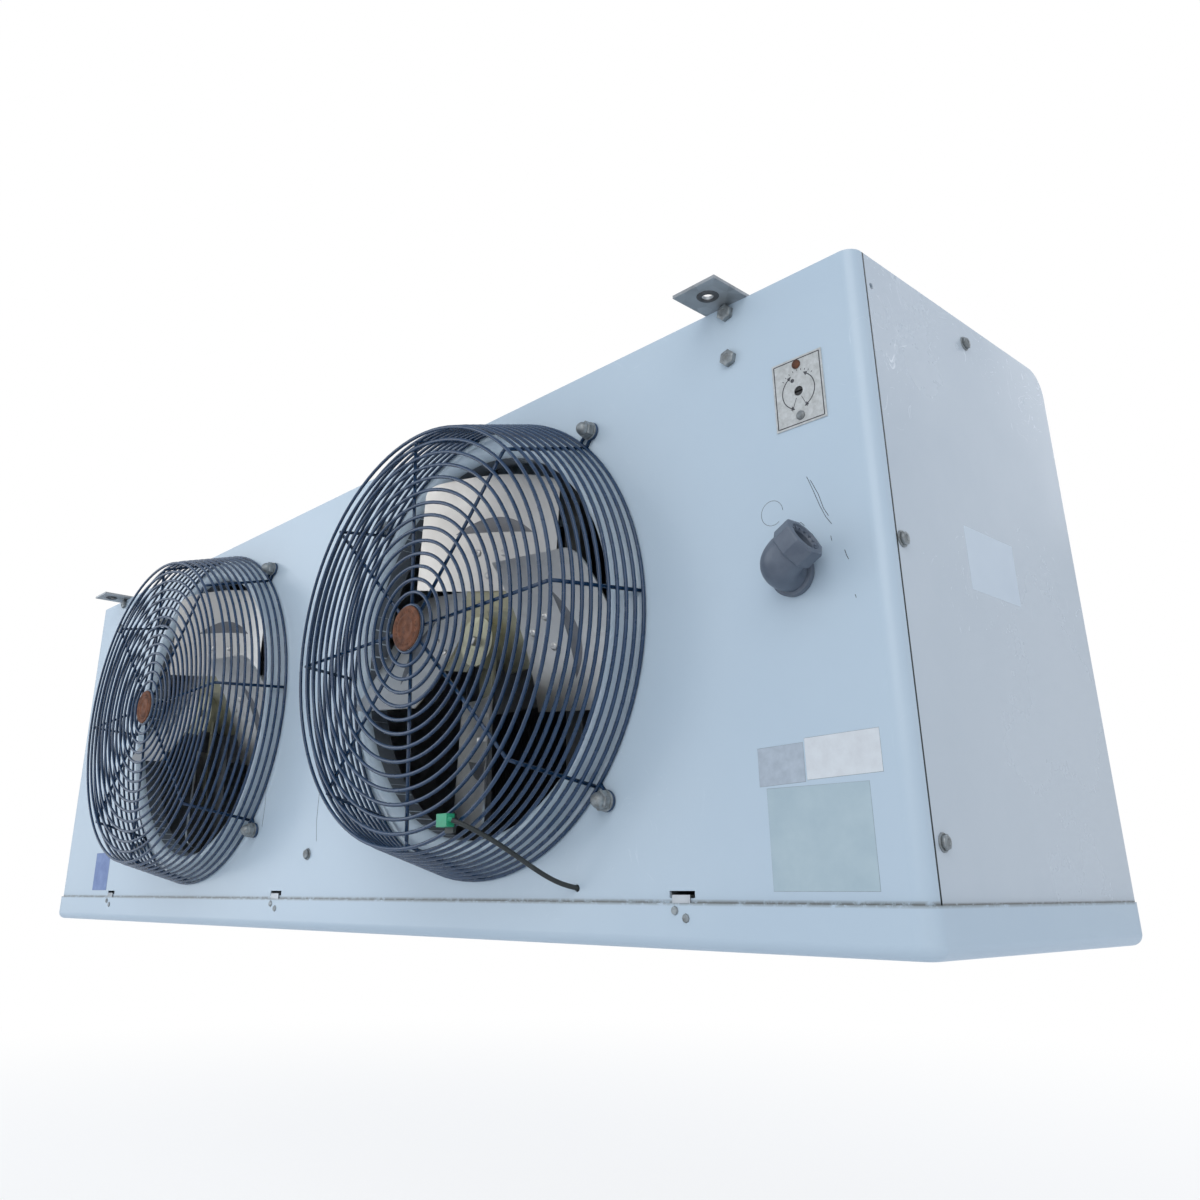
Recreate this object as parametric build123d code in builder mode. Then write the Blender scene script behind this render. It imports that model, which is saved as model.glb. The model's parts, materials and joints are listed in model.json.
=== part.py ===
"""Two-fan walk-in unit cooler, millimetres.

+X is the unit's right seen from the front, the fans blow towards -Y, +Z is up.
The origin is at the middle of the four hanger holes, on the brackets' top faces.
"""

from build123d import *
from math import asin, atan2, cos, hypot, radians, sin, sqrt, tan
import os

os.makedirs("parts", exist_ok=True)

# ---- cabinet
LENGTH = 1304.0
HEIGHT = 408.0  # front panel above the pan's edge
DEPTH = 280.0
SHEET = 1.2
CORNER_R = 10.0  # front upright corners
SEAM_Y = 12.0  # the end seam, behind the front face
SEAM_GAP = 1.0
SEAM_FLANGE = 30.0  # the ends' screws go into this, back from the front face
END_R = 20.0  # rear top corner of the ends
FLANGE = 14.0
SKIRT = 12.0  # panels reach this far into the pan
REAR_LIP = 35.0
CABINET_X = 10.0  # cabinet centre, right of the hangers' centre
FIT = 0.2  # clearance round screws, pipes and edges

# ---- hangers
HANGER_X = 557.0
HANGER_REACH = 37.0
HANGER_HOLE_Y = 20.8  # hole centre, out from the cabinet's face
HANGER_HOLE_R = 4.2
BRACKET_T = 2.5
BRACKET_W = 38.0
BRACKET_LEG = 60.0
BOLT_AF = 11.0
BOLT_R = 3.1
BOLT_IN = 6.7  # shank under the head
BOLT_DROPS = (6.0, 43.0)  # bolt heights below the cabinet top

# ---- fans
FAN_XS = (277.9, -241.4)
FAN_Z = 205.5  # above the pan's edge
TIP_R = 152.4
THROAT_R = 161.0
THROAT_DEPTH = 14.0
ROLL_R = 8.0
CREST = 12.0  # how far the collar stands out of the panel
BLADES = 4
BLADE_T = 1.5
BLADE_HALF = 57.0
BLADE_RISE = 30.0  # half of the blade's axial width
BLADE_CAMBER = 8.0
BLADE_ROOT = 46.0
BLADE_CORNER = 14.0
ARM_T = 2.5
ARM_END = 104.0
ARM_HALF = (26.0, 16.0)  # at the hub, at the end
HUB_R = 21.0
HUB_Y = (-4.0, 24.0)
SHAFT_R = 4.0
SHAFT_FRONT = -10.0
SHAFT_IN_MOTOR = 40.0
RUNNING = 0.05  # radial clearance of the shaft in its bearing
RIVET_R = 3.5
RIVET_SPOTS = ((80.0, 12.0), (80.0, -13.0), (60.0, 0.0))  # along, across an arm
RIVET_GAP = 0.1  # head off the curved blade, so that its flat foot doesn't cut in
RIVET_TAPER = 25.0
SMALL_SIDES = 8  # sides of the small round shanks and heads
REST_TURN = -5.0  # where the blades stop

# ---- wire guards
WIRE = 3.0
GUARD_OUT = 75.0
GUARD_R = 169.0
GUARD_BASE_R = 190.6
GRILLE_PITCH = 21.4
SKIRT_RINGS = 5
SPOKES = 8
RING_SIDES = 24
GUARD_TURN = 2.0
WELD = 0.4  # crossing wires sink into each other
BADGE_R = 18.5
BADGE_T = 2.5
LUG_AT = 203.5
LUG_R = 9.0
STUD_R = 3.2
CAP_AF = 12.7
CAP_HEX = 7.0
CAP_TAPER = 28.0

# ---- motors
MOTOR_R = 42.0
MOTOR_LEN = 80.0
MOTOR_BOSS_R = 14.0
BOSS_OUT = 2.0  # boss in front of the mounting plate
BELL_BEVEL = 7.0
SHAFT_END_GAP = 1.0
MOTOR_Y = 58.0  # mounting face, behind the front face
MOUNT_T = 1.5
PLATE_T = 2.0
PLATE_HIGH = 100.0
RAIL_X = 62.0
RAIL_W = 28.0
RAIL_HALF = 194.0
RAIL_FLANGE = 10.0
RAIL_TAB = 8.0

# ---- coil and bulkheads
BULKHEAD_T = 1.5
BULKHEAD_XS = (-444.4, 479.6)
COIL_ROWS = 2
TUBES_HIGH = 10
ROW_PITCH = 33.0
TUBE_PITCH = 38.1
TUBE_R = 6.35
BEND_LEG = 4.0
BEND_CHORDS = 4
COIL_REAR_GAP = 10.0
COIL_FOOT = 6.0  # coil above the pan's edge
FIN_PITCH = 24.0
FIN_T = 4.0
FIN_DEEP = 5.0
HEADER_R = 11.1
HEADER_X = -500.0
LINE_X = -560.0
LINE_R = 6.35
LINE_OUT = 60.0  # the pipes' ends, behind the rear face
LINE_DROP = 90.0  # below the cabinet top
PIPE_WALL = 1.1
COUPLING_OFF = 2.0  # coupling behind the rear face
COUPLING_LEN = 8.0

# ---- drain pan
PAN_DEPTH = 28.0
PAN_SHEET = 1.2
PAN_EDGE_R = 8.0
HOOK_T = 1.0
HOOK_W = 15.0
HOOK_GAP = 0.3
HOOK_DROP = 20.0
HOOK_XS = (491.1, -37.6, -463.6)
HOOK_RISE = 3.9  # hook seat above the pan's edge
SLOT_W = 21.5
SLOT_TOP = 7.3
SLOT_SEAT = 3.0
RIVETS = ((-4.5, -4.6), (4.5, -9.0))
RIVET_HEAD_R = 3.0
DRAIN_X = -560.0
DRAIN_R = 11.1
DRAIN_BORE = 9.9
DRAIN_OUT = 45.0
DRAIN_COLLAR_R = 12.6
DRAIN_COLLAR = 6.0

# ---- front fittings, places above the pan's edge
DIAL_XZ = (611.8, 319.4)
DIAL_SIZE = (39.0, 49.6, 0.8)
DIAL_HEAD_R = 3.4
DIAL_SCREWS = ((0.0, 19.6), (0.0, -17.9))
SPINDLE_R = 3.2
SPINDLE_TOP = 0.3  # end of the spindle, in front of the face
SPINDLE_SLOT = (1.2, 1.5)  # width, depth
CONTROL_SIZE = (48.0, 36.0, 60.0)
ELBOW_XZ = (596.0, 196.5)
ELBOW_OUT = 22.0
ELBOW_R = 13.0
ELBOW_THREAD_R = 10.5
ELBOW_FOOT_R = 15.5
ELBOW_FOOT = 5.0
ELBOW_THREAD = 12.0
ELBOW_BEND = 14.5
ELBOW_LEG = 14.7
ELBOW_BORE = 8.0
ELBOW_NUT = 14.0
NUT_PROUD = 1.0  # the nuts stand this far past the elbow
LOCKNUT_T = 4.0
ELBOW_TURN = 29.0
DIVIDER_SCREW_Z = 40.6
SPARE_HOLE = (-110.3, 357.6)
SCREW_R = 2.0
SCREW_AF = 8.0
SCREW_IN = 8.0
WASHER_R = 5.5
WASHER_T = 1.0
HEAD_SHARE = 0.42  # height of a hexagon head as a share of its width

# ---- end panel screws: behind the front face, above the pan's edge
RIGHT_SCREWS = ((146.6, 388.8), (18.6, 207.7), (22.4, 32.3))
EMPTY_HOLE = (19.0, 384.8)

# ---- sensor lead
LEAD_R = 1.75
LEAD_HOLE = (394.0, 9.0)
LEAD_HOLE_R = 2.5
LEAD_ROUTE = (  # x, behind the front face, above the pan's edge
    (352.0, -81.0, 54.0),
    (360.0, -73.0, 50.0),
    (368.0, -55.0, 40.0),
    (375.0, -38.0, 29.0),
    (382.0, -23.0, 18.5),
    (389.5, -9.5, 11.0),
    (394.0, 1.2, 9.0),
)
PLUG_SIZE = (12.0, 7.0, 9.0)
PLUG_NOSE = 1.6
PLUG_SOCKET = 3.0
CLIP_SIZE = (10.0, 13.0)  # along x, along z

# ---- worked out from the sizes above
FRONT_Y = -DEPTH / 2
REAR_Y = DEPTH / 2
TOP_Z = -BRACKET_T
PAN_TOP_Z = TOP_Z - HEIGHT
FOOT_Z = PAN_TOP_Z - SKIRT
LEFT_X = CABINET_X - LENGTH / 2
RIGHT_X = CABINET_X + LENGTH / 2
FAN_SPOTS = [Vector(x, FRONT_Y, PAN_TOP_Z + FAN_Z) for x in FAN_XS]
DIVIDER_X = sum(FAN_XS) / 2
FACE = Plane(origin=(0, FRONT_Y, PAN_TOP_Z), x_dir=(1, 0, 0), z_dir=(0, -1, 0))


def save(part, name):
    """Label a finished piece and write it as a node."""
    part.label = name
    export_step(part, f"parts/{name}.step")


def face_at(x, z, out=0.0):
    """Plane that stands out of the front face by out, centred on x and z above the pan."""
    return Plane(origin=(x, FRONT_Y - out, PAN_TOP_Z + z), x_dir=(1, 0, 0), z_dir=(0, -1, 0))


def facing(y):
    """Plane across a fan's axis, y behind the front face; its normal faces the room."""
    return Plane(origin=(0, y, 0), x_dir=(1, 0, 0), z_dir=(0, -1, 0))


# ---------------------------------------------------------------- front panel
def front_section(inset):
    """Plan outline of the front panel's outside, shrunk by inset."""
    with BuildSketch() as section:
        with Locations((CABINET_X, FRONT_Y + inset + SEAM_Y / 2)):
            Rectangle(LENGTH - 2 * inset, SEAM_Y)
        fillet(section.vertices().group_by(Axis.Y)[0], CORNER_R - inset)
    return section.sketch


def collar_section():
    """Half section of a fan collar: flare, rolled crest and throat, x from the axis."""
    crest = Vector(THROAT_R + ROLL_R, -(CREST - ROLL_R))
    turns = [radians(a) for a in (45, 90, 135, 180)]
    outside = [crest + Vector(cos(t), -sin(t)) * ROLL_R for t in turns]
    inside = [crest + Vector(cos(t), -sin(t)) * (ROLL_R - SHEET) for t in turns]
    with BuildSketch(Plane.XY) as section:
        with BuildLine():
            Polyline(
                (FLARE_R, 0),
                *outside,
                (THROAT_R, THROAT_DEPTH),
                (THROAT_R + SHEET, THROAT_DEPTH),
                *reversed(inside),
                (inside[0].X - inside[0].Y + SHEET, SHEET),
                (FLARE_R + FLANGE, SHEET),
                (FLARE_R + FLANGE, 0),
                close=True,
            )
        make_face()
    return section.sketch


FLARE_R = THROAT_R + ROLL_R + ROLL_R * sqrt(2) + CREST - ROLL_R  # foot of the flare
STUD_SPOTS = [
    (LUG_AT * cos(radians(a)), LUG_AT * sin(radians(a)))
    for a in (GUARD_TURN + 45 + 90 * k for k in range(4))
]

with BuildPart() as collar:
    add(collar_section())
    revolve(axis=Axis.Y)

with BuildPart() as front_panel:
    with BuildSketch(Plane.XY.offset(FOOT_Z)):
        add(front_section(0))
        add(front_section(SHEET), mode=Mode.SUBTRACT)
    extrude(amount=TOP_Z - FOOT_Z)
    for side in (-1, 1):  # inner flanges that the end panels screw to
        with Locations(
            (
                CABINET_X + side * (LENGTH / 2 - 1.5 * SHEET),
                FRONT_Y + (CORNER_R + SEAM_FLANGE) / 2,
                (FOOT_Z + TOP_Z) / 2 - SHEET,
            )
        ):
            Box(SHEET, SEAM_FLANGE - CORNER_R, HEIGHT + SKIRT - 2 * SHEET)
    with Locations((CABINET_X, FRONT_Y + SHEET + FLANGE / 2, TOP_Z - 1.5 * SHEET)):
        Box(LENGTH - 2 * (CORNER_R + FLANGE), FLANGE, SHEET)
    with BuildSketch(FACE):
        for x in FAN_XS:
            with Locations((x, FAN_Z)):
                Circle(FLARE_R + FLANGE / 2)
                with Locations(*STUD_SPOTS):
                    Circle(STUD_R + FIT)
        for x in HOOK_XS:
            with Locations((x, (SLOT_TOP + SLOT_SEAT) / 2)):
                Rectangle(SLOT_W, SLOT_TOP - SLOT_SEAT)
        with Locations(*[(s * HANGER_X, HEIGHT - d) for s in (-1, 1) for d in BOLT_DROPS]):
            Circle(BOLT_R + FIT)
        with Locations(DIAL_XZ):
            Circle(SPINDLE_R + 1)
            with Locations(*DIAL_SCREWS):
                Circle(SCREW_R + FIT)
        with Locations(ELBOW_XZ):
            Circle(ELBOW_THREAD_R + FIT)
        with Locations((DIVIDER_X, DIVIDER_SCREW_Z), SPARE_HOLE):
            Circle(SCREW_R + FIT)
        with Locations(LEAD_HOLE):
            Circle(LEAD_HOLE_R)
    extrude(amount=-2 * SHEET, mode=Mode.SUBTRACT)
    for spot in FAN_SPOTS:
        add(collar.part.moved(Location(spot)))
    for side in (-1, 1):  # notches for the hanger legs
        with Locations((side * HANGER_X, FRONT_Y + SHEET + FLANGE / 2, TOP_Z - SHEET)):
            Box(BRACKET_W + 2 * FIT, FLANGE, 3 * SHEET, mode=Mode.SUBTRACT)
        spots = [FRONT_Y + y for y, _ in RIGHT_SCREWS + (EMPTY_HOLE,)]
        heights = [PAN_TOP_Z + z for _, z in RIGHT_SCREWS + (EMPTY_HOLE,)]
        with BuildSketch(Plane.YZ.offset(CABINET_X + side * (LENGTH / 2 - 2 * SHEET - 1))):
            with Locations(*zip(spots, heights)):
                Circle(SCREW_R + FIT)
        extrude(amount=side * (SHEET + 1), mode=Mode.SUBTRACT)
save(front_panel.part, "front_panel")


# ---------------------------------------------------------------- top, ends and rear
def end_outline(inset, front=FRONT_Y):
    """Side outline of the cabinet from front to rear, shrunk at the top and rear."""
    with BuildSketch() as outline:
        with Locations(
            ((front + REAR_Y - inset) / 2, (FOOT_Z + TOP_Z - inset) / 2),
        ):
            Rectangle(REAR_Y - inset - front, TOP_Z - inset - FOOT_Z)
        fillet(outline.vertices().group_by(Axis.Y)[-1].sort_by(Axis.X)[-1], END_R - inset)
    return outline.sketch


with BuildPart() as top_panel:
    with BuildSketch(Plane.YZ.offset(LEFT_X + SHEET + FIT)):
        add(end_outline(0, FRONT_Y + SHEET + FIT))
        add(end_outline(SHEET, FRONT_Y), mode=Mode.SUBTRACT)
        with Locations((0, TOP_Z - REAR_LIP / 2)):
            Rectangle(2 * DEPTH, REAR_LIP, mode=Mode.INTERSECT)
    extrude(amount=LENGTH - 2 * (SHEET + FIT))
    front_corners = top_panel.edges().filter_by(Axis.Z).group_by(Axis.Y)[0]
    fillet(front_corners, CORNER_R - SHEET - FIT)
    for side in (-1, 1):
        with Locations((side * HANGER_X, FRONT_Y + SHEET, TOP_Z)):
            Box(BRACKET_W + 2 * FIT, 4 * BRACKET_T, 3 * SHEET, mode=Mode.SUBTRACT)
    with Locations(*[(s * HANGER_X, REAR_Y - END_R - d, TOP_Z) for s in (-1, 1) for d in BOLT_DROPS]):
        Cylinder(BOLT_R + FIT, 3 * SHEET, mode=Mode.SUBTRACT)
save(top_panel.part, "top_panel")

for side, name in ((-1, "left"), (1, "right")):
    skin_x = CABINET_X + side * LENGTH / 2
    end_front = FRONT_Y + SEAM_Y + SEAM_GAP
    with BuildPart() as end_panel:
        with BuildSketch(Plane.YZ.offset(skin_x)):
            add(end_outline(0, end_front))
        extrude(amount=-side * SHEET)
        with BuildSketch(Plane.YZ.offset(skin_x - side * SHEET)):
            add(end_outline(SHEET, end_front + 3 * FLANGE))
            add(end_outline(2 * SHEET, end_front), mode=Mode.SUBTRACT)
        extrude(amount=-side * FLANGE)
        with BuildSketch(Plane.YZ.offset(skin_x)):
            with Locations(
                *[(FRONT_Y + y, PAN_TOP_Z + z) for y, z in RIGHT_SCREWS + (EMPTY_HOLE,)]
            ):
                Circle(SCREW_R + FIT)
        extrude(amount=-side * SHEET, mode=Mode.SUBTRACT)
        with Locations((skin_x, REAR_Y, PAN_TOP_Z - SKIRT / 2)):  # clear of the pan's corner
            Box(2 * (FLANGE + SHEET), 2 * PAN_EDGE_R, SKIRT, mode=Mode.SUBTRACT)
    save(end_panel.part, f"end_panel_{name}")

    bulkhead_x = BULKHEAD_XS[0] if side < 0 else BULKHEAD_XS[1]
    cover_to = skin_x - side * (SHEET + FIT)
    with BuildPart() as rear_cover:
        with Locations(
            (
                (bulkhead_x + cover_to) / 2,
                REAR_Y - SHEET / 2,
                (PAN_TOP_Z + TOP_Z - REAR_LIP) / 2,
            )
        ):
            Box(abs(cover_to - bulkhead_x), SHEET, HEIGHT - REAR_LIP - 2 * FIT)
        if side < 0:  # refrigerant lines leave here
            with BuildSketch(FACE.offset(-DEPTH)):
                with Locations((HEADER_X, HEIGHT - LINE_DROP)):
                    Circle(HEADER_R + FIT)
                with Locations((LINE_X, HEIGHT - LINE_DROP)):
                    Circle(LINE_R + FIT)
            extrude(amount=2 * SHEET, mode=Mode.SUBTRACT)
    save(rear_cover.part, f"rear_cover_{name}")


# ---------------------------------------------------------------- bulkheads and coil
COIL_DEPTH = COIL_ROWS * ROW_PITCH
COIL_MID_Y = REAR_Y - COIL_REAR_GAP - COIL_DEPTH / 2
COIL_HIGH = TUBES_HIGH * TUBE_PITCH
DIVIDER_TOP = TOP_Z - 2 * (SHEET + FIT)

for x, side, name in zip(BULKHEAD_XS, (-1, 1), ("left", "right")):
    with BuildPart() as bulkhead:
        with BuildSketch(Plane.YZ.offset(x)):
            add(end_outline(SHEET + FIT, FRONT_Y + SHEET + FIT))
            with Locations((FRONT_Y, TOP_Z)):  # under the front panel's top flange
                Rectangle(2 * (FLANGE + SHEET + FIT), 4 * (SHEET + FIT), mode=Mode.SUBTRACT)
        extrude(amount=side * BULKHEAD_T)
    save(bulkhead.part, f"coil_end_plate_{name}")

FIN_PACK = BULKHEAD_XS[1] - BULKHEAD_XS[0]
FIN_GAPS = int(FIN_PACK / FIN_PITCH)
with BuildPart() as coil_fins:
    with BuildSketch(Plane.XY.offset(PAN_TOP_Z + COIL_FOOT)):
        with Locations((sum(BULKHEAD_XS) / 2, COIL_MID_Y)):
            Rectangle(FIN_PACK, COIL_DEPTH)
            with GridLocations(FIN_PITCH, COIL_DEPTH - FIN_DEEP, FIN_GAPS, 2):
                Rectangle(FIN_PITCH - FIN_T, FIN_DEEP, mode=Mode.SUBTRACT)
    extrude(amount=COIL_HIGH)
save(coil_fins.part, "coil_fins")


def return_bends(x, side, first):
    """U bends on one end of the coil, joining tube first with the one above, and so on."""
    with BuildPart() as bends:
        for row in (-0.5, 0.5):
            for k in range(first, TUBES_HIGH - 1, 2):
                y = COIL_MID_Y + row * ROW_PITCH
                low = Vector(x, y, PAN_TOP_Z + COIL_FOOT + (k + 0.5) * TUBE_PITCH)
                middle = low + Vector(side * BEND_LEG, 0, TUBE_PITCH / 2)
                turns = [radians(180 * j / BEND_CHORDS - 90) for j in range(BEND_CHORDS + 1)]
                arch = [
                    middle + Vector(side * cos(t), 0, sin(t)) * TUBE_PITCH / 2 for t in turns
                ]
                with BuildLine() as path:
                    Polyline(low, *arch, low + Vector(0, 0, TUBE_PITCH))
                with BuildSketch(Plane(origin=low, z_dir=(side, 0, 0))):
                    RegularPolygon(TUBE_R, 6)
                sweep(path=path.wires()[0], transition=Transition.RIGHT)
    return bends.part


save(return_bends(BULKHEAD_XS[1] + BULKHEAD_T, 1, 0), "return_bends_right")
save(return_bends(BULKHEAD_XS[0] - BULKHEAD_T, -1, 1), "return_bends_left")

# ---------------------------------------------------------------- refrigerant pipes
def stub_heights(first):
    """Heights of the tubes that the bends on one end leave free."""
    return [PAN_TOP_Z + COIL_FOOT + (k + 0.5) * TUBE_PITCH for k in first]


PIPE_START = BULKHEAD_XS[0] - BULKHEAD_T


def line_end(x, outer_r):
    """Brazed coupling round a refrigerant line, just outside the rear cover."""
    with BuildPart() as coupling:
        with BuildSketch(Plane(origin=(x, REAR_Y + COUPLING_OFF, TOP_Z - LINE_DROP), z_dir=(0, 1, 0))):
            Circle(outer_r + PIPE_WALL)
            Circle(outer_r - PIPE_WALL, mode=Mode.SUBTRACT)
        extrude(amount=COUPLING_LEN)
    return coupling.part


with BuildPart() as suction_header:
    free = stub_heights((0, TUBES_HIGH - 1))
    header_y = COIL_MID_Y + ROW_PITCH / 2
    header_low, header_high = free[0] - 2 * TUBE_R, free[1] + 2 * TUBE_R
    with BuildSketch(Plane(origin=(HEADER_X, header_y, header_low))):
        Circle(HEADER_R)
    extrude(amount=header_high - header_low)
    for z in free:
        with BuildSketch(Plane(origin=(PIPE_START, header_y, z), z_dir=(-1, 0, 0))):
            Circle(TUBE_R)
        extrude(amount=PIPE_START - HEADER_X)
    with BuildSketch(Plane(origin=(HEADER_X, header_y, TOP_Z - LINE_DROP), z_dir=(0, 1, 0))):
        Circle(HEADER_R)
    extrude(amount=REAR_Y + LINE_OUT - header_y)
    with BuildSketch(Plane(origin=(HEADER_X, REAR_Y + LINE_OUT, TOP_Z - LINE_DROP), z_dir=(0, -1, 0))):
        Circle(HEADER_R - PIPE_WALL)
    extrude(amount=LINE_OUT, mode=Mode.SUBTRACT)
    add(line_end(HEADER_X, HEADER_R))
save(suction_header.part, "suction_header")

with BuildPart() as liquid_line:
    line_y = COIL_MID_Y - ROW_PITCH / 2
    for z in stub_heights((0, TUBES_HIGH - 1)):
        with BuildSketch(Plane(origin=(PIPE_START, line_y, z), z_dir=(-1, 0, 0))):
            Circle(TUBE_R)
        extrude(amount=PIPE_START - LINE_X)
    with BuildSketch(Plane(origin=(LINE_X, line_y, header_low))):
        Circle(HEADER_R)
    extrude(amount=header_high - header_low)
    with BuildSketch(Plane(origin=(LINE_X, line_y, TOP_Z - LINE_DROP), z_dir=(0, 1, 0))):
        Circle(LINE_R)
    extrude(amount=REAR_Y + LINE_OUT - line_y)
    with BuildSketch(Plane(origin=(LINE_X, REAR_Y + LINE_OUT, TOP_Z - LINE_DROP), z_dir=(0, -1, 0))):
        Circle(LINE_R - PIPE_WALL)
    extrude(amount=LINE_OUT, mode=Mode.SUBTRACT)
    add(line_end(LINE_X, LINE_R))
save(liquid_line.part, "liquid_line")

with BuildPart() as fan_divider:
    divider_depth = COIL_MID_Y - COIL_DEPTH / 2 - FRONT_Y - SHEET
    with Locations(
        (
            DIVIDER_X - FLANGE / 2,
            FRONT_Y + SHEET + divider_depth / 2,
            (FOOT_Z + DIVIDER_TOP) / 2,
        )
    ):
        Box(SHEET, divider_depth, DIVIDER_TOP - FOOT_Z)
    with Locations((DIVIDER_X, FRONT_Y + 1.5 * SHEET, PAN_TOP_Z + HEIGHT / 2)):
        Box(FLANGE, SHEET, HEIGHT - 2 * FLANGE)
    with BuildSketch(FACE):
        with Locations((DIVIDER_X, DIVIDER_SCREW_Z)):
            Circle(SCREW_R + FIT)
    extrude(amount=-3 * SHEET, mode=Mode.SUBTRACT)
save(fan_divider.part, "fan_divider")


# ---------------------------------------------------------------- fans, about their own axis
def blade_plane(x):
    """Plane across a blade at x from the axis: x across its face, y along its chord."""
    tilt = atan2(BLADE_RISE, BLADE_HALF)
    return Plane(origin=(x, 0, 0), x_dir=(0, cos(tilt), sin(tilt)), z_dir=(1, 0, 0))


CHORD = 2 * hypot(BLADE_RISE, BLADE_HALF)
CURVE_R = (CHORD**2 / 4 + BLADE_CAMBER**2) / (2 * BLADE_CAMBER)
CURVE_X = BLADE_CAMBER - CURVE_R


def curved_plate(near, far, start, end):
    """Curved plate between two radii of the blade's curve, from start to end of x."""
    turn = asin(CHORD / 2 / CURVE_R)
    inner = [
        Vector(CURVE_X + (CURVE_R + near) * cos(t), (CURVE_R + near) * sin(t)) for t in (-turn, 0, turn)
    ]
    outer = [
        Vector(CURVE_X + (CURVE_R + far) * cos(t), (CURVE_R + far) * sin(t)) for t in (-turn, 0, turn)
    ]
    with BuildPart() as plate:
        with BuildSketch(blade_plane(start)):
            with BuildLine():
                ThreePointArc(*inner)
                Line(inner[2], outer[2])
                ThreePointArc(*reversed(outer))
                Line(outer[0], inner[0])
            make_face()
        extrude(amount=end - start)
    return plate.part


def fan_blades():
    """Four pitched paddle blades with round tips."""
    with BuildPart() as blade:
        add(curved_plate(0, BLADE_T, BLADE_ROOT, TIP_R + BLADE_CORNER))
        with BuildSketch(facing(CHORD)) as outline:
            with Locations(((BLADE_ROOT + TIP_R) / 2, 0)):
                Rectangle(TIP_R - BLADE_ROOT, 2 * BLADE_HALF)
            Circle(TIP_R, mode=Mode.INTERSECT)
            fillet([v for v in outline.vertices() if v.X > ARM_END], BLADE_CORNER)
        extrude(amount=2 * CHORD, mode=Mode.INTERSECT)
    with BuildPart() as blades:
        for k in range(BLADES):
            add(blade.part.rotate(Axis.Y, -(REST_TURN + 360 / BLADES * k)))
    return blades.part


def fan_spider():
    """Hub with one arm riveted behind each blade."""
    with BuildPart() as arm:
        add(curved_plate(BLADE_T, BLADE_T + ARM_T, HUB_R / 2, ARM_END))
        with BuildSketch(facing(CHORD)):
            with BuildLine():
                Polyline(
                    (0, -ARM_HALF[0]),
                    (ARM_END, -ARM_HALF[1]),
                    (ARM_END, ARM_HALF[1]),
                    (0, ARM_HALF[0]),
                    close=True,
                )
            make_face()
        extrude(amount=2 * CHORD, mode=Mode.INTERSECT)
    with BuildPart() as spider:
        with BuildSketch(facing(HUB_Y[1])):
            Circle(HUB_R)
        extrude(amount=HUB_Y[1] - HUB_Y[0])
        for k in range(BLADES):
            add(arm.part.rotate(Axis.Y, -(REST_TURN + 360 / BLADES * k)))
        with BuildSketch(facing(HUB_Y[1])):
            Circle(SHAFT_R)
        extrude(amount=HUB_Y[1] - HUB_Y[0], mode=Mode.SUBTRACT)
    return spider.part


def arm_rivets():
    """Rivet heads on the face of one blade, in front of its arm."""
    with BuildPart() as heads:
        for along, across in RIVET_SPOTS:
            turn = asin(across / CURVE_R)
            plane = blade_plane(along)
            seat = Vector(CURVE_X, 0, 0) + Vector(cos(turn), sin(turn), 0) * (CURVE_R - RIVET_GAP)
            centre = plane.from_local_coords(Vector(CURVE_X, 0, 0))
            foot = plane.from_local_coords(seat)
            with BuildSketch(Plane(origin=foot, z_dir=centre - foot)):
                RegularPolygon(RIVET_R, SMALL_SIDES)
            extrude(amount=RIVET_R / 2, taper=RIVET_TAPER)
    return heads.part


def blade_rivets():
    """Rivet heads on the faces of all the blades."""
    one = arm_rivets()
    with BuildPart() as heads:
        for k in range(BLADES):
            add(one.rotate(Axis.Y, -(REST_TURN + 360 / BLADES * k)))
    return heads.part


def motor_shaft():
    """Shaft from the hub's front into the motor."""
    with BuildPart() as shaft:
        with BuildSketch(facing(MOTOR_Y + SHAFT_IN_MOTOR)):
            Circle(SHAFT_R)
        extrude(amount=MOTOR_Y + SHAFT_IN_MOTOR - SHAFT_FRONT)
        chamfer(shaft.faces().sort_by(Axis.Y)[0].edges(), SHAFT_R / 5)
    return shaft.part


def fan_motor():
    """Round motor with bevelled end bells, bored for its shaft."""
    front, back = MOTOR_Y - PLATE_T - BOSS_OUT, MOTOR_Y + MOTOR_LEN
    with BuildPart() as motor:
        with BuildSketch(Plane.XY):
            with BuildLine():
                Polyline(
                    (SHAFT_R + RUNNING, front),
                    (MOTOR_BOSS_R, front),
                    (MOTOR_BOSS_R, MOTOR_Y),
                    (MOTOR_R - BELL_BEVEL, MOTOR_Y),
                    (MOTOR_R, MOTOR_Y + BELL_BEVEL),
                    (MOTOR_R, back - BELL_BEVEL),
                    (MOTOR_R - BELL_BEVEL, back),
                    (0, back),
                    (0, MOTOR_Y + SHAFT_IN_MOTOR + SHAFT_END_GAP),
                    (SHAFT_R + RUNNING, MOTOR_Y + SHAFT_IN_MOTOR + SHAFT_END_GAP),
                    close=True,
                )
            make_face()
        revolve(axis=Axis.Y)
    return motor.part


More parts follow.
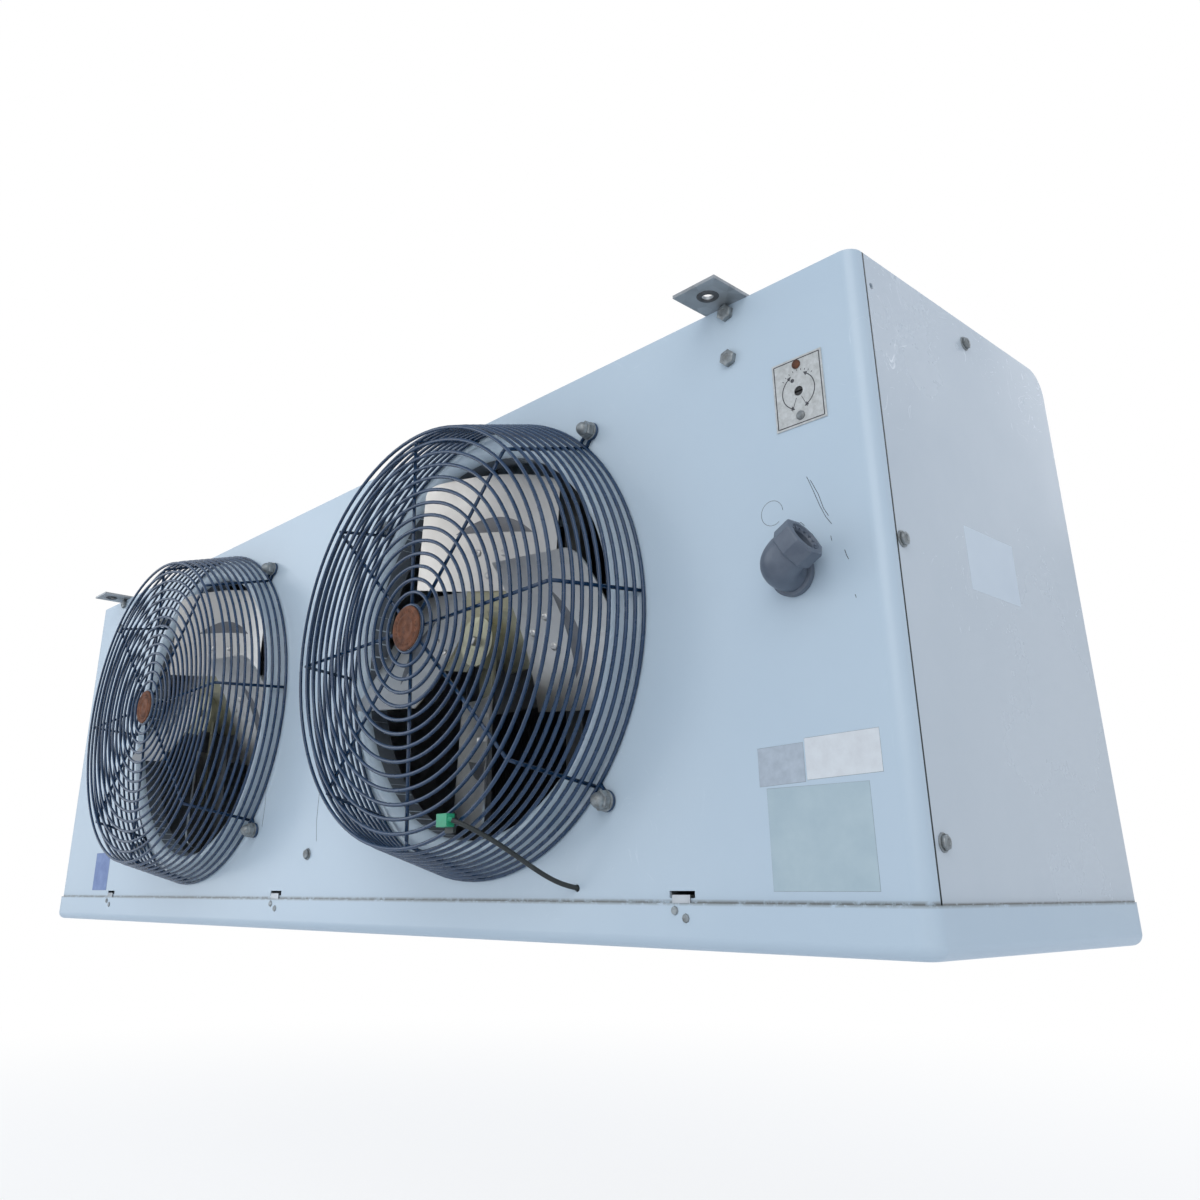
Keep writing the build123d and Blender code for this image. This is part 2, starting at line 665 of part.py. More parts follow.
def motor_mount():
    """Two upright rails standing off the front panel, with a plate for the motor."""
    back = MOTOR_Y - PLATE_T
    leg = back - SHEET
    with BuildPart() as mount:
        with BuildSketch(facing(MOTOR_Y)):
            Rectangle(2 * RAIL_X + RAIL_W, PLATE_HIGH)
            Circle(MOTOR_BOSS_R + FIT, mode=Mode.SUBTRACT)
        extrude(amount=PLATE_T)
        for side in (-1, 1):
            with Locations((side * RAIL_X, back - MOUNT_T / 2, 0)):
                Box(RAIL_W, MOUNT_T, 2 * RAIL_HALF)
            edge = side * (RAIL_X + RAIL_W / 2 - MOUNT_T / 2)
            with Locations((edge, back - RAIL_FLANGE / 2, 0)):
                Box(MOUNT_T, RAIL_FLANGE, 2 * RAIL_HALF)
            for end in (-1, 1):
                with Locations((side * RAIL_X, SHEET + leg / 2, end * (RAIL_HALF - MOUNT_T / 2))):
                    Box(RAIL_W, leg, MOUNT_T)
                tab_z = end * (RAIL_HALF - RAIL_TAB / 2)
                with Locations((side * RAIL_X, SHEET + MOUNT_T / 2, tab_z)):
                    Box(RAIL_W, MOUNT_T, RAIL_TAB)
    return mount.part


# ---------------------------------------------------------------- wire guards
GRILLE_BACK = -(GUARD_OUT - 2 * WIRE + WELD)
GRILLE_RINGS = int((GUARD_R - BADGE_R) / GRILLE_PITCH) + 1


def ring_section(middle_r):
    """Flat outline of one wire ring in straight lengths, its corners in line with the spokes."""
    outer, inner = middle_r + WIRE / 2, middle_r - WIRE / 2
    with BuildSketch() as ring:
        RegularPolygon(outer, RING_SIDES, rotation=GUARD_TURN)
        RegularPolygon(inner, RING_SIDES, rotation=GUARD_TURN, mode=Mode.SUBTRACT)
    return ring.sketch


def guard_grille():
    """Flat front of a guard: rings in front of the spokes that carry them."""
    reach = GUARD_R - BADGE_R
    with BuildPart() as grille:
        with BuildSketch(facing(WIRE - GUARD_OUT)):
            for k in range(GRILLE_RINGS):
                add(ring_section(GUARD_R - GRILLE_PITCH * k))
        extrude(amount=WIRE)
        with BuildSketch(facing(GRILLE_BACK)):
            with PolarLocations(GUARD_R - reach / 2, SPOKES, start_angle=GUARD_TURN):
                Rectangle(reach, WIRE)
        extrude(amount=WIRE)
    return grille.part


def guard_skirt():
    """Sloping side of a guard: bars, rings round them, and the eyes for the studs."""
    top_r, base_r = GUARD_R - WIRE / 2, GUARD_BASE_R - WIRE
    half = WIRE / 2
    slope = (top_r - base_r) / GRILLE_BACK
    with BuildPart() as bar:
        with BuildSketch(Plane.XY):
            with BuildLine():
                Polyline(
                    (top_r - half, GRILLE_BACK),
                    (top_r + half, GRILLE_BACK),
                    (base_r + half, -FIT),
                    (base_r - half, -FIT),
                    close=True,
                )
            make_face()
        extrude(amount=half, both=True)
    with BuildPart() as skirt:
        for k in range(1, SKIRT_RINGS + 1):
            y = GRILLE_BACK + (-half - FIT - GRILLE_BACK) * k / SKIRT_RINGS
            with BuildSketch(facing(y + half)):
                add(ring_section(base_r + slope * y + WIRE - WELD))
            extrude(amount=WIRE)
        for k in range(SPOKES):
            add(bar.part.rotate(Axis.Y, -(GUARD_TURN + 360 / SPOKES * k)))
        with BuildSketch(facing(0)):
            with Locations(*STUD_SPOTS):
                Circle(LUG_R)
            with PolarLocations((base_r + LUG_AT) / 2, 4, start_angle=GUARD_TURN + 45):
                Rectangle(LUG_AT - base_r, WIRE)
            with Locations(*STUD_SPOTS):
                Circle(STUD_R + FIT, mode=Mode.SUBTRACT)
        extrude(amount=WIRE)
    return skirt.part


def guard_badge():
    """Dished disc clipped over the middle of the grille."""
    front = -GUARD_OUT - BADGE_T
    with BuildPart() as badge:
        with BuildSketch(Plane.XY):
            with BuildLine():
                Polyline(
                    (0, -GUARD_OUT),
                    (0, front),
                    (BADGE_R / 3, front),
                    (BADGE_R / 2, front + BADGE_T / 3),
                    (BADGE_R - BADGE_T, front),
                    (BADGE_R, -GUARD_OUT - BADGE_T / 3),
                    (BADGE_R, -GUARD_OUT),
                    close=True,
                )
            make_face()
        revolve(axis=Axis.Y)
    return badge.part


def guard_nuts():
    """Cap nuts on studs through the guard's eyes and the panel."""
    with BuildPart() as nuts:
        for x, z in STUD_SPOTS:
            foot = Plane(origin=(x, -WIRE, z), x_dir=(1, 0, 0), z_dir=(0, -1, 0))
            with BuildSketch(foot):
                RegularPolygon(CAP_AF / 2, 6, major_radius=False)
            extrude(amount=CAP_HEX)
            with BuildSketch(foot.offset(CAP_HEX)):
                RegularPolygon(CAP_AF / 2, 2 * SMALL_SIDES)
            extrude(amount=CAP_AF / 2, taper=CAP_TAPER)
            with BuildSketch(foot):
                RegularPolygon(STUD_R, SMALL_SIDES)
            extrude(amount=-(WIRE + 3 * SHEET))
    return nuts.part


def both_fans(piece):
    """The same piece at each fan, as separate solids."""
    with BuildPart() as pair:
        for spot in FAN_SPOTS:
            add(piece.moved(Location(spot)))
    return pair.part


save(both_fans(guard_badge()), "guard_badges")
save(both_fans(guard_nuts()), "guard_nuts")

MAKERS = {
    "fan_blades": fan_blades,
    "fan_spider": fan_spider,
    "blade_rivets": blade_rivets,
    "motor_shaft": motor_shaft,
    "fan_motor": fan_motor,
    "motor_mount": motor_mount,
    "guard_grille": guard_grille,
    "guard_skirt": guard_skirt,
}
for name, maker in MAKERS.items():
    piece = maker()
    for number, spot in enumerate(FAN_SPOTS, 1):
        save(piece.moved(Location(spot)), f"{name}_{number}")


# ---------------------------------------------------------------- drain pan
PAN_GAP = HOOK_GAP + HOOK_T
PAN_OUT = PAN_GAP + PAN_SHEET
PAN_FLOOR_Z = PAN_TOP_Z - PAN_DEPTH
DRAIN_Z = PAN_FLOOR_Z + PAN_SHEET + DRAIN_R + 0.5

with BuildPart() as drain_pan:
    with Locations((CABINET_X, 0, PAN_TOP_Z - PAN_DEPTH / 2)):
        Box(LENGTH + 2 * PAN_OUT, DEPTH + 2 * PAN_OUT, PAN_DEPTH)
    upright = drain_pan.edges().filter_by(Axis.Z).group_by(Axis.Y)
    fillet(upright[0], CORNER_R + PAN_OUT)
    upright = drain_pan.edges().filter_by(Axis.Z).group_by(Axis.Y)
    fillet(upright[-1], PAN_EDGE_R)
    fillet(drain_pan.faces().sort_by(Axis.Z)[0].edges(), PAN_EDGE_R)
    offset(amount=-PAN_SHEET, openings=drain_pan.faces().sort_by(Axis.Z)[-1])
    with BuildSketch(Plane(origin=(DRAIN_X, REAR_Y + PAN_OUT, DRAIN_Z), z_dir=(0, -1, 0))):
        Circle(DRAIN_R + FIT)
    extrude(amount=PAN_EDGE_R + DRAIN_R, mode=Mode.SUBTRACT)
    with BuildSketch(FACE):
        with Locations(*[(x + dx, dz) for x in HOOK_XS for dx, dz in RIVETS]):
            Circle(RIVET_HEAD_R / 2 + FIT)
    extrude(amount=2 * PAN_OUT, mode=Mode.SUBTRACT)
save(drain_pan.part, "drain_pan")

with BuildPart() as pan_hooks:
    for x in HOOK_XS:
        strap = Plane(origin=(x - HOOK_W / 2, 0, 0), x_dir=(0, 1, 0), z_dir=(1, 0, 0))
        face_y, seat_z = FRONT_Y - HOOK_GAP, PAN_TOP_Z + HOOK_RISE
        with BuildSketch(strap):
            with BuildLine():
                Polyline(
                    (face_y, seat_z),
                    (face_y, seat_z - HOOK_DROP),
                    (face_y - HOOK_T, seat_z - HOOK_DROP),
                    (face_y - HOOK_T, seat_z + HOOK_T),
                    (FRONT_Y + 4 * SHEET, seat_z + HOOK_T),
                    (FRONT_Y + 4 * SHEET, seat_z),
                    close=True,
                )
            make_face()
        extrude(amount=HOOK_W)
    with BuildSketch(FACE):
        with Locations(*[(x + dx, dz) for x in HOOK_XS for dx, dz in RIVETS]):
            Circle(RIVET_HEAD_R / 2 + FIT)
    extrude(amount=2 * PAN_OUT, mode=Mode.SUBTRACT)
save(pan_hooks.part, "pan_hooks")

with BuildPart() as pan_rivets:
    for x in HOOK_XS:
        for dx, dz in RIVETS:
            with BuildSketch(face_at(x + dx, dz, PAN_OUT)):
                RegularPolygon(RIVET_HEAD_R, SMALL_SIDES)
            extrude(amount=RIVET_HEAD_R / 3, taper=RIVET_TAPER)
            with BuildSketch(face_at(x + dx, dz, PAN_OUT)):
                RegularPolygon(RIVET_HEAD_R / 2, SMALL_SIDES)
            extrude(amount=-(PAN_SHEET + HOOK_T))
save(pan_rivets.part, "pan_rivets")

with BuildPart() as drain_stub:
    spot = Plane(origin=(DRAIN_X, REAR_Y + PAN_GAP - HOOK_T, DRAIN_Z), z_dir=(0, 1, 0))
    with BuildSketch(spot):
        Circle(DRAIN_R)
        Circle(DRAIN_BORE, mode=Mode.SUBTRACT)
    extrude(amount=DRAIN_OUT)
    with BuildSketch(spot.offset(PAN_SHEET + HOOK_T)):
        Circle(DRAIN_COLLAR_R)
        Circle(DRAIN_BORE, mode=Mode.SUBTRACT)
    extrude(amount=DRAIN_COLLAR)
save(drain_stub.part, "drain_stub")


# ---------------------------------------------------------------- hangers
with BuildPart() as front_hangers:
    for side in (-1, 1):
        inner = side * HANGER_X - BRACKET_W / 2
        with BuildSketch(Plane(origin=(inner, 0, 0), x_dir=(0, 1, 0), z_dir=(1, 0, 0))):
            with BuildLine():
                Polyline(
                    (FRONT_Y - HANGER_REACH, 0),
                    (FRONT_Y + SHEET + BRACKET_T, 0),
                    (FRONT_Y + SHEET + BRACKET_T, -BRACKET_LEG),
                    (FRONT_Y + SHEET, -BRACKET_LEG),
                    (FRONT_Y + SHEET, TOP_Z),
                    (FRONT_Y - HANGER_REACH, TOP_Z),
                    close=True,
                )
            make_face()
        extrude(amount=BRACKET_W)
    with Locations(*[(s * HANGER_X, FRONT_Y - HANGER_HOLE_Y, TOP_Z / 2) for s in (-1, 1)]):
        Cylinder(HANGER_HOLE_R, 2 * BRACKET_T, mode=Mode.SUBTRACT)
    with BuildSketch(FACE):
        with Locations(*[(s * HANGER_X, HEIGHT - d) for s in (-1, 1) for d in BOLT_DROPS]):
            Circle(BOLT_R + FIT)
    extrude(amount=-3 * BRACKET_T, mode=Mode.SUBTRACT)
save(front_hangers.part, "front_hangers")

with BuildPart() as rear_hangers:
    rear_from = REAR_Y - END_R - BOLT_DROPS[1] - BOLT_AF
    for side in (-1, 1):
        with Locations((side * HANGER_X, (rear_from + REAR_Y + HANGER_REACH) / 2, TOP_Z / 2)):
            Box(BRACKET_W, REAR_Y + HANGER_REACH - rear_from, BRACKET_T)
    with Locations(*[(s * HANGER_X, REAR_Y + HANGER_HOLE_Y, TOP_Z / 2) for s in (-1, 1)]):
        Cylinder(HANGER_HOLE_R, 2 * BRACKET_T, mode=Mode.SUBTRACT)
    with Locations(
        *[(s * HANGER_X, REAR_Y - END_R - d, TOP_Z / 2) for s in (-1, 1) for d in BOLT_DROPS]
    ):
        Cylinder(BOLT_R + FIT, 2 * BRACKET_T, mode=Mode.SUBTRACT)
save(rear_hangers.part, "rear_hangers")


def hex_bolt(seat, across, shank_r, length):
    """Hexagon head standing on seat's plane, with its shank going the other way."""
    with BuildPart() as bolt:
        with BuildSketch(seat):
            RegularPolygon(across / 2, 6, major_radius=False)
        extrude(amount=across * HEAD_SHARE)
        with BuildSketch(seat):
            RegularPolygon(shank_r, SMALL_SIDES)
        extrude(amount=-length)
    return bolt.part


def washer_screw(seat):
    """Small hexagon screw with its washer face on seat's plane."""
    with BuildPart() as screw:
        with BuildSketch(seat):
            RegularPolygon(WASHER_R, 2 * SMALL_SIDES)
        extrude(amount=WASHER_T)
        add(hex_bolt(seat, SCREW_AF, SCREW_R, SCREW_IN))
    return screw.part


with BuildPart() as hanger_bolts:
    for side in (-1, 1):
        for drop in BOLT_DROPS:
            add(hex_bolt(face_at(side * HANGER_X, HEIGHT - drop), BOLT_AF, BOLT_R, BOLT_IN))
            rear_seat = Plane(origin=(side * HANGER_X, REAR_Y - END_R - drop, 0))
            add(hex_bolt(rear_seat, BOLT_AF, BOLT_R, BOLT_IN))
save(hanger_bolts.part, "hanger_bolts")

with BuildPart() as end_screws:
    for side in (-1, 1):
        for y, z in RIGHT_SCREWS + ((EMPTY_HOLE,) if side < 0 else ()):
            spot = (CABINET_X + side * LENGTH / 2, FRONT_Y + y, PAN_TOP_Z + z)
            add(washer_screw(Plane(origin=spot, x_dir=(0, 1, 0), z_dir=(side, 0, 0))))
save(end_screws.part, "end_screws")

with BuildPart() as divider_screw:
    add(washer_screw(face_at(DIVIDER_X, DIVIDER_SCREW_Z)))
save(divider_screw.part, "divider_screw")


# ---------------------------------------------------------------- defrost control
with BuildPart() as dial_plate:
    with BuildSketch(FACE):
        with Locations(DIAL_XZ):
            Rectangle(DIAL_SIZE[0], DIAL_SIZE[1])
            Circle(SPINDLE_R + FIT, mode=Mode.SUBTRACT)
            with Locations(*DIAL_SCREWS):
                Circle(SCREW_R + FIT, mode=Mode.SUBTRACT)
    extrude(amount=DIAL_SIZE[2])
save(dial_plate.part, "dial_plate")

with BuildPart() as dial_screws:
    for dx, dz in DIAL_SCREWS:
        seat = face_at(DIAL_XZ[0] + dx, DIAL_XZ[1] + dz, DIAL_SIZE[2])
        with BuildSketch(seat):
            RegularPolygon(DIAL_HEAD_R, SMALL_SIDES)
        extrude(amount=DIAL_HEAD_R / 2, taper=RIVET_TAPER)
        with BuildSketch(seat):
            RegularPolygon(SCREW_R, SMALL_SIDES)
        extrude(amount=-(SHEET + DIAL_SIZE[2]))
save(dial_screws.part, "dial_screws")

with BuildPart() as defrost_control:
    with Locations((DIAL_XZ[0], FRONT_Y + SHEET + CONTROL_SIZE[1] / 2, PAN_TOP_Z + DIAL_XZ[1])):
        Box(*CONTROL_SIZE)
    with BuildSketch(FACE):
        with Locations(DIAL_XZ):
            Circle(SPINDLE_R + RUNNING)
    extrude(amount=-(SHEET + CONTROL_SIZE[1] / 2), mode=Mode.SUBTRACT)
save(defrost_control.part, "defrost_control")

with BuildPart() as defrost_spindle:
    with BuildSketch(FACE.offset(SPINDLE_TOP)):
        with Locations(DIAL_XZ):
            Circle(SPINDLE_R)
    extrude(amount=-(SPINDLE_TOP + SHEET + CONTROL_SIZE[1] / 2 - FIT))
    with BuildSketch(FACE.offset(SPINDLE_TOP)):
        with Locations(DIAL_XZ):
            Rectangle(2 * SPINDLE_R, SPINDLE_SLOT[0])
    extrude(amount=-SPINDLE_SLOT[1], mode=Mode.SUBTRACT)
save(defrost_spindle.part, "defrost_spindle")


# ---------------------------------------------------------------- conduit elbow
LEG = Vector(cos(radians(ELBOW_TURN)), 0, sin(radians(ELBOW_TURN)))
KNEE = Vector(ELBOW_XZ[0], FRONT_Y - ELBOW_OUT, PAN_TOP_Z + ELBOW_XZ[1])
NUT_FOOT = KNEE + LEG * ELBOW_LEG

with BuildPart() as conduit_elbow:
    elbow_foot = Vector(KNEE.X, FRONT_Y, KNEE.Z)
    with BuildLine() as elbow_line:
        FilletPolyline(elbow_foot, KNEE, NUT_FOOT, radius=ELBOW_BEND)
    with BuildSketch(face_at(*ELBOW_XZ)):
        RegularPolygon(ELBOW_R, 2 * SMALL_SIDES)
    sweep(path=elbow_line.wires()[0])
    with BuildSketch(face_at(*ELBOW_XZ)):
        RegularPolygon(ELBOW_FOOT_R, 2 * SMALL_SIDES)
    extrude(amount=ELBOW_FOOT)
    with BuildSketch(face_at(*ELBOW_XZ)):
        Circle(ELBOW_THREAD_R)
    extrude(amount=-ELBOW_THREAD)
    with BuildSketch(Plane(origin=NUT_FOOT, z_dir=-LEG)):
        Circle(ELBOW_BORE)
    extrude(amount=ELBOW_LEG, mode=Mode.SUBTRACT)
save(conduit_elbow.part, "conduit_elbow")

with BuildPart() as elbow_nut:
    with BuildSketch(Plane(origin=NUT_FOOT, z_dir=LEG)):
        RegularPolygon(ELBOW_R + NUT_PROUD, 8, major_radius=False)
        Circle(ELBOW_BORE, mode=Mode.SUBTRACT)
    extrude(amount=ELBOW_NUT)
save(elbow_nut.part, "elbow_nut")

with BuildPart() as elbow_locknut:
    with BuildSketch(FACE.offset(-SHEET)):
        with Locations(ELBOW_XZ):
            RegularPolygon(ELBOW_R + NUT_PROUD, 6, major_radius=False)
            Circle(ELBOW_THREAD_R + FIT, mode=Mode.SUBTRACT)
    extrude(amount=-LOCKNUT_T)
save(elbow_locknut.part, "elbow_locknut")


# ---------------------------------------------------------------- sensor lead
def tube_path(points):
    """Straight runs through the points with the largest tangent arc that each corner allows."""
    runs = [(b - a).length for a, b in zip(points, points[1:])]
    turns = [
        (b - a).get_angle(c - b) for a, b, c in zip(points, points[1:], points[2:])
    ]
    radii = [
        0.45 * min(runs[k], runs[k + 1]) / tan(radians(turn) / 2) for k, turn in enumerate(turns)
    ]
    print("lead radii", [round(r, 1) for r in radii], "runs", round(sum(runs), 1))
    return FilletPolyline(*points, radius=radii)


route = [Vector(x, FRONT_Y + y, PAN_TOP_Z + z) for x, y, z in LEAD_ROUTE]
with BuildPart() as sensor_lead:
    with BuildLine() as lead_line:
        tube_path(route)
    with BuildSketch(Plane(origin=route[0], z_dir=route[1] - route[0])):
        RegularPolygon(LEAD_R, 6)
    sweep(path=lead_line.wires()[0])
save(sensor_lead.part, "sensor_lead")
print("lead length", round(lead_line.wires()[0].length, 1), "volume", round(sensor_lead.part.volume, 1))

with BuildPart() as lead_plug:
    with Locations(route[0] - Vector(PLUG_SIZE[0] / 2 + PLUG_NOSE, 0, 0)):
        Box(*PLUG_SIZE)
    with BuildSketch(Plane(origin=route[0], z_dir=route[0] - route[1])):
        RegularPolygon(LEAD_R, 6)
    extrude(amount=PLUG_SOCKET)
save(lead_plug.part, "lead_plug")

with BuildPart() as lead_clip:
    plug_back = route[0].Y + PLUG_SIZE[1] / 2
    ring_front = FRONT_Y - GUARD_OUT
    with Locations(
        (
            route[0].X - PLUG_NOSE - PLUG_SIZE[0] / 2,
            (plug_back + ring_front) / 2,
            route[0].Z + PLUG_SIZE[2] / 2 - CLIP_SIZE[1] / 2,
        )
    ):
        Box(CLIP_SIZE[0], ring_front - plug_back, CLIP_SIZE[1])
save(lead_clip.part, "lead_clip")
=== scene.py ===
"""Looks of a two-fan walk-in unit cooler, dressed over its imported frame.

Everything is in metres in the frame of the part: +X is the unit's right seen from the
front, the fans blow towards -Y and +Z is up.
"""

from __future__ import annotations

import json
import logging
import math
from dataclasses import dataclass, field
from enum import Enum
from typing import Iterable, NamedTuple, Sequence

import bmesh
import bpy
import numpy as np
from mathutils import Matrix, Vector

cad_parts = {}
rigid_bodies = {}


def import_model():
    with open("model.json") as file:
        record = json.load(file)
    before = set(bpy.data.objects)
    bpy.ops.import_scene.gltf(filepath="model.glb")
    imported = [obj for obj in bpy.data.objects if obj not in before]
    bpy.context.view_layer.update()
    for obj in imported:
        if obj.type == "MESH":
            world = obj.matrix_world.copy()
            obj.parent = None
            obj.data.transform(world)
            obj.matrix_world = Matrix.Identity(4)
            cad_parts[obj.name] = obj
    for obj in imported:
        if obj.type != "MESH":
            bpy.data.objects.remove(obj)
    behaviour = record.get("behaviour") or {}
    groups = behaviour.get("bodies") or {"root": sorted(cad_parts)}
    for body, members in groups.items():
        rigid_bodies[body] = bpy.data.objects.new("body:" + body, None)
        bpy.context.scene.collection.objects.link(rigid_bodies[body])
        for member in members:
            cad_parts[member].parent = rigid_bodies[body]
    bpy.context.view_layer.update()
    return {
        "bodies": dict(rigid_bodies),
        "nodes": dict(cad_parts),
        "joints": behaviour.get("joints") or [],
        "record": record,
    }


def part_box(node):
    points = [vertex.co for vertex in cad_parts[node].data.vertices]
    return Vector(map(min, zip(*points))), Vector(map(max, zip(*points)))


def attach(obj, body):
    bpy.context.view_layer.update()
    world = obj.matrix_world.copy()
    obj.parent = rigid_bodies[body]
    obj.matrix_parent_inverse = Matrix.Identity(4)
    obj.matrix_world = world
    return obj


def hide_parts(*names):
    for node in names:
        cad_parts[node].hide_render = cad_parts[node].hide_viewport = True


LOG = logging.getLogger("cooler")
MM = 0.001
Colour = tuple[float, float, float]


class Slot(Enum):
    """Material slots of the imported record."""

    PAINT = "white_paint"
    WIRE = "guard_coating"
    GALVANISED = "galvanised"
    ALUMINIUM = "bare_aluminium"
    YELLOW_ZINC = "zinc_yellow"
    MOTOR = "motor_black"
    FINS = "fin_aluminium"
    COPPER = "copper_pipe"
    SCREW = "screw_steel"
    RUST = "rusty_disc"
    PLASTIC = "grey_plastic"
    DIAL = "dial_foil"
    SHEATH = "lead_sheath"
    GREEN = "green_plastic"
    SHAFT = "shaft_steel"


# ---------------------------------------------------------------- shader node groups
def math_node(tree: bpy.types.NodeTree, operation: str, clamp: bool = False) -> bpy.types.Node:
    """Adds a Math node.

    Args:
        tree: Where it goes.
        operation: What it works out.
        clamp: Whether its result stays between 0 and 1.

    Returns:
        The new node.
    """
    node = tree.nodes.new("ShaderNodeMath")
    node.operation = operation
    node.use_clamp = clamp
    return node


class GroupLibrary:
    """Shader node groups that several finishes share, each made once."""

    def __init__(self) -> None:
        """Starts with no group made."""
        self._made: dict[str, bpy.types.NodeTree] = {}

    def _new(
        self,
        name: str,
        inputs: Sequence[tuple[str, str, object]],
        outputs: Sequence[tuple[str, str]],
    ) -> tuple[bpy.types.NodeTree, bpy.types.Node, bpy.types.Node]:
        """Makes an empty group with named sockets.

        Args:
            name: Name of the group.
            inputs: Name, socket type and default of each input.
            outputs: Name and socket type of each output.

        Returns:
            The tree, its input node and its output node.
        """
        tree = bpy.data.node_groups.new(name, "ShaderNodeTree")
        for label, kind, value in inputs:
            socket = tree.interface.new_socket(name=label, in_out="INPUT", socket_type=kind)
            socket.default_value = value
        for label, kind in outputs:
            tree.interface.new_socket(name=label, in_out="OUTPUT", socket_type=kind)
        return tree, tree.nodes.new("NodeGroupInput"), tree.nodes.new("NodeGroupOutput")

    def mottle(self) -> bpy.types.NodeTree:
        """Blotches between two colours, with their mask."""
        if "mottle" not in self._made:
            tree, given, out = self._new(
                "Mottle",
                [
                    ("Color A", "NodeSocketColor", (0.8, 0.8, 0.8, 1.0)),
                    ("Color B", "NodeSocketColor", (0.5, 0.5, 0.5, 1.0)),
                    ("Scale", "NodeSocketFloat", 20.0),
                    ("Low", "NodeSocketFloat", 0.35),
                    ("High", "NodeSocketFloat", 0.7),
                ],
                [("Color", "NodeSocketColor"), ("Mask", "NodeSocketFloat")],
            )
            where = tree.nodes.new("ShaderNodeTexCoord")
            noise = tree.nodes.new("ShaderNodeTexNoise")
            noise.inputs["Detail"].default_value = 6.0
            noise.inputs["Roughness"].default_value = 0.62
            spread = tree.nodes.new("ShaderNodeMapRange")
            mix = tree.nodes.new("ShaderNodeMix")
            mix.data_type = "RGBA"
            link = tree.links.new
            link(where.outputs["Object"], noise.inputs["Vector"])
            link(given.outputs["Scale"], noise.inputs["Scale"])
            link(noise.outputs["Fac"], spread.inputs["Value"])
            link(given.outputs["Low"], spread.inputs["From Min"])
            link(given.outputs["High"], spread.inputs["From Max"])
            link(spread.outputs["Result"], mix.inputs["Factor"])
            link(given.outputs["Color A"], mix.inputs["A"])
            link(given.outputs["Color B"], mix.inputs["B"])
            link(mix.outputs["Result"], out.inputs["Color"])
            link(spread.outputs["Result"], out.inputs["Mask"])
            self._made["mottle"] = tree
        return self._made["mottle"]

    def scratches(self) -> bpy.types.NodeTree:
        """Fine crossing scratches: a mask, 1 on a scratch."""
        if "scratches" not in self._made:
            tree, given, out = self._new(
                "Fine Scratches",
                [
                    ("Scale", "NodeSocketFloat", 30.0),
                    ("Amount", "NodeSocketFloat", 0.5),
                    ("Stretch", "NodeSocketVector", (1.0, 1.0, 14.0)),
                    ("From Height", "NodeSocketFloat", -9.0),
                    ("Full Height", "NodeSocketFloat", -8.0),
                ],
                [("Mask", "NodeSocketFloat")],
            )
            where = tree.nodes.new("ShaderNodeTexCoord")
            stretch = tree.nodes.new("ShaderNodeVectorMath")
            stretch.operation = "MULTIPLY"
            bend = tree.nodes.new("ShaderNodeTexNoise")
            bend.inputs["Scale"].default_value = 9.0
            bend.inputs["Detail"].default_value = 2.0
            shift = tree.nodes.new("ShaderNodeVectorMath")
            shift.operation = "MULTIPLY_ADD"
            shift.inputs[1].default_value = (0.35, 0.35, 0.35)
            lines = tree.nodes.new("ShaderNodeTexNoise")
            lines.inputs["Detail"].default_value = 3.0
            lines.inputs["Roughness"].default_value = 0.7
            patches = tree.nodes.new("ShaderNodeTexNoise")
            patches.inputs["Scale"].default_value = 6.0
            thin = tree.nodes.new("ShaderNodeMapRange")
            thin.inputs["From Min"].default_value = 0.63
            thin.inputs["From Max"].default_value = 0.70
            where_patch = tree.nodes.new("ShaderNodeMapRange")
            where_patch.inputs["From Min"].default_value = 0.48
            where_patch.inputs["From Max"].default_value = 0.62
            both = math_node(tree, "MULTIPLY")
            split = tree.nodes.new("ShaderNodeSeparateXYZ")
            rise = tree.nodes.new("ShaderNodeMapRange")
            high = math_node(tree, "MULTIPLY")
            level = math_node(tree, "MULTIPLY", clamp=True)
            link = tree.links.new
            link(where.outputs["Object"], bend.inputs["Vector"])
            link(where.outputs["Object"], split.inputs["Vector"])
            link(split.outputs["Z"], rise.inputs["Value"])
            link(given.outputs["From Height"], rise.inputs["From Min"])
            link(given.outputs["Full Height"], rise.inputs["From Max"])
            link(bend.outputs["Color"], shift.inputs[0])
            link(where.outputs["Object"], shift.inputs[2])
            link(shift.outputs["Vector"], stretch.inputs[0])
            link(given.outputs["Stretch"], stretch.inputs[1])
            link(stretch.outputs["Vector"], lines.inputs["Vector"])
            link(given.outputs["Scale"], lines.inputs["Scale"])
            link(where.outputs["Object"], patches.inputs["Vector"])
            link(lines.outputs["Fac"], thin.inputs["Value"])
            link(patches.outputs["Fac"], where_patch.inputs["Value"])
            link(thin.outputs["Result"], both.inputs[0])
            link(where_patch.outputs["Result"], both.inputs[1])
            link(both.outputs["Value"], high.inputs[0])
            link(rise.outputs["Result"], high.inputs[1])
            link(high.outputs["Value"], level.inputs[0])
            link(given.outputs["Amount"], level.inputs[1])
            link(level.outputs["Value"], out.inputs["Mask"])
            self._made["scratches"] = tree
        return self._made["scratches"]

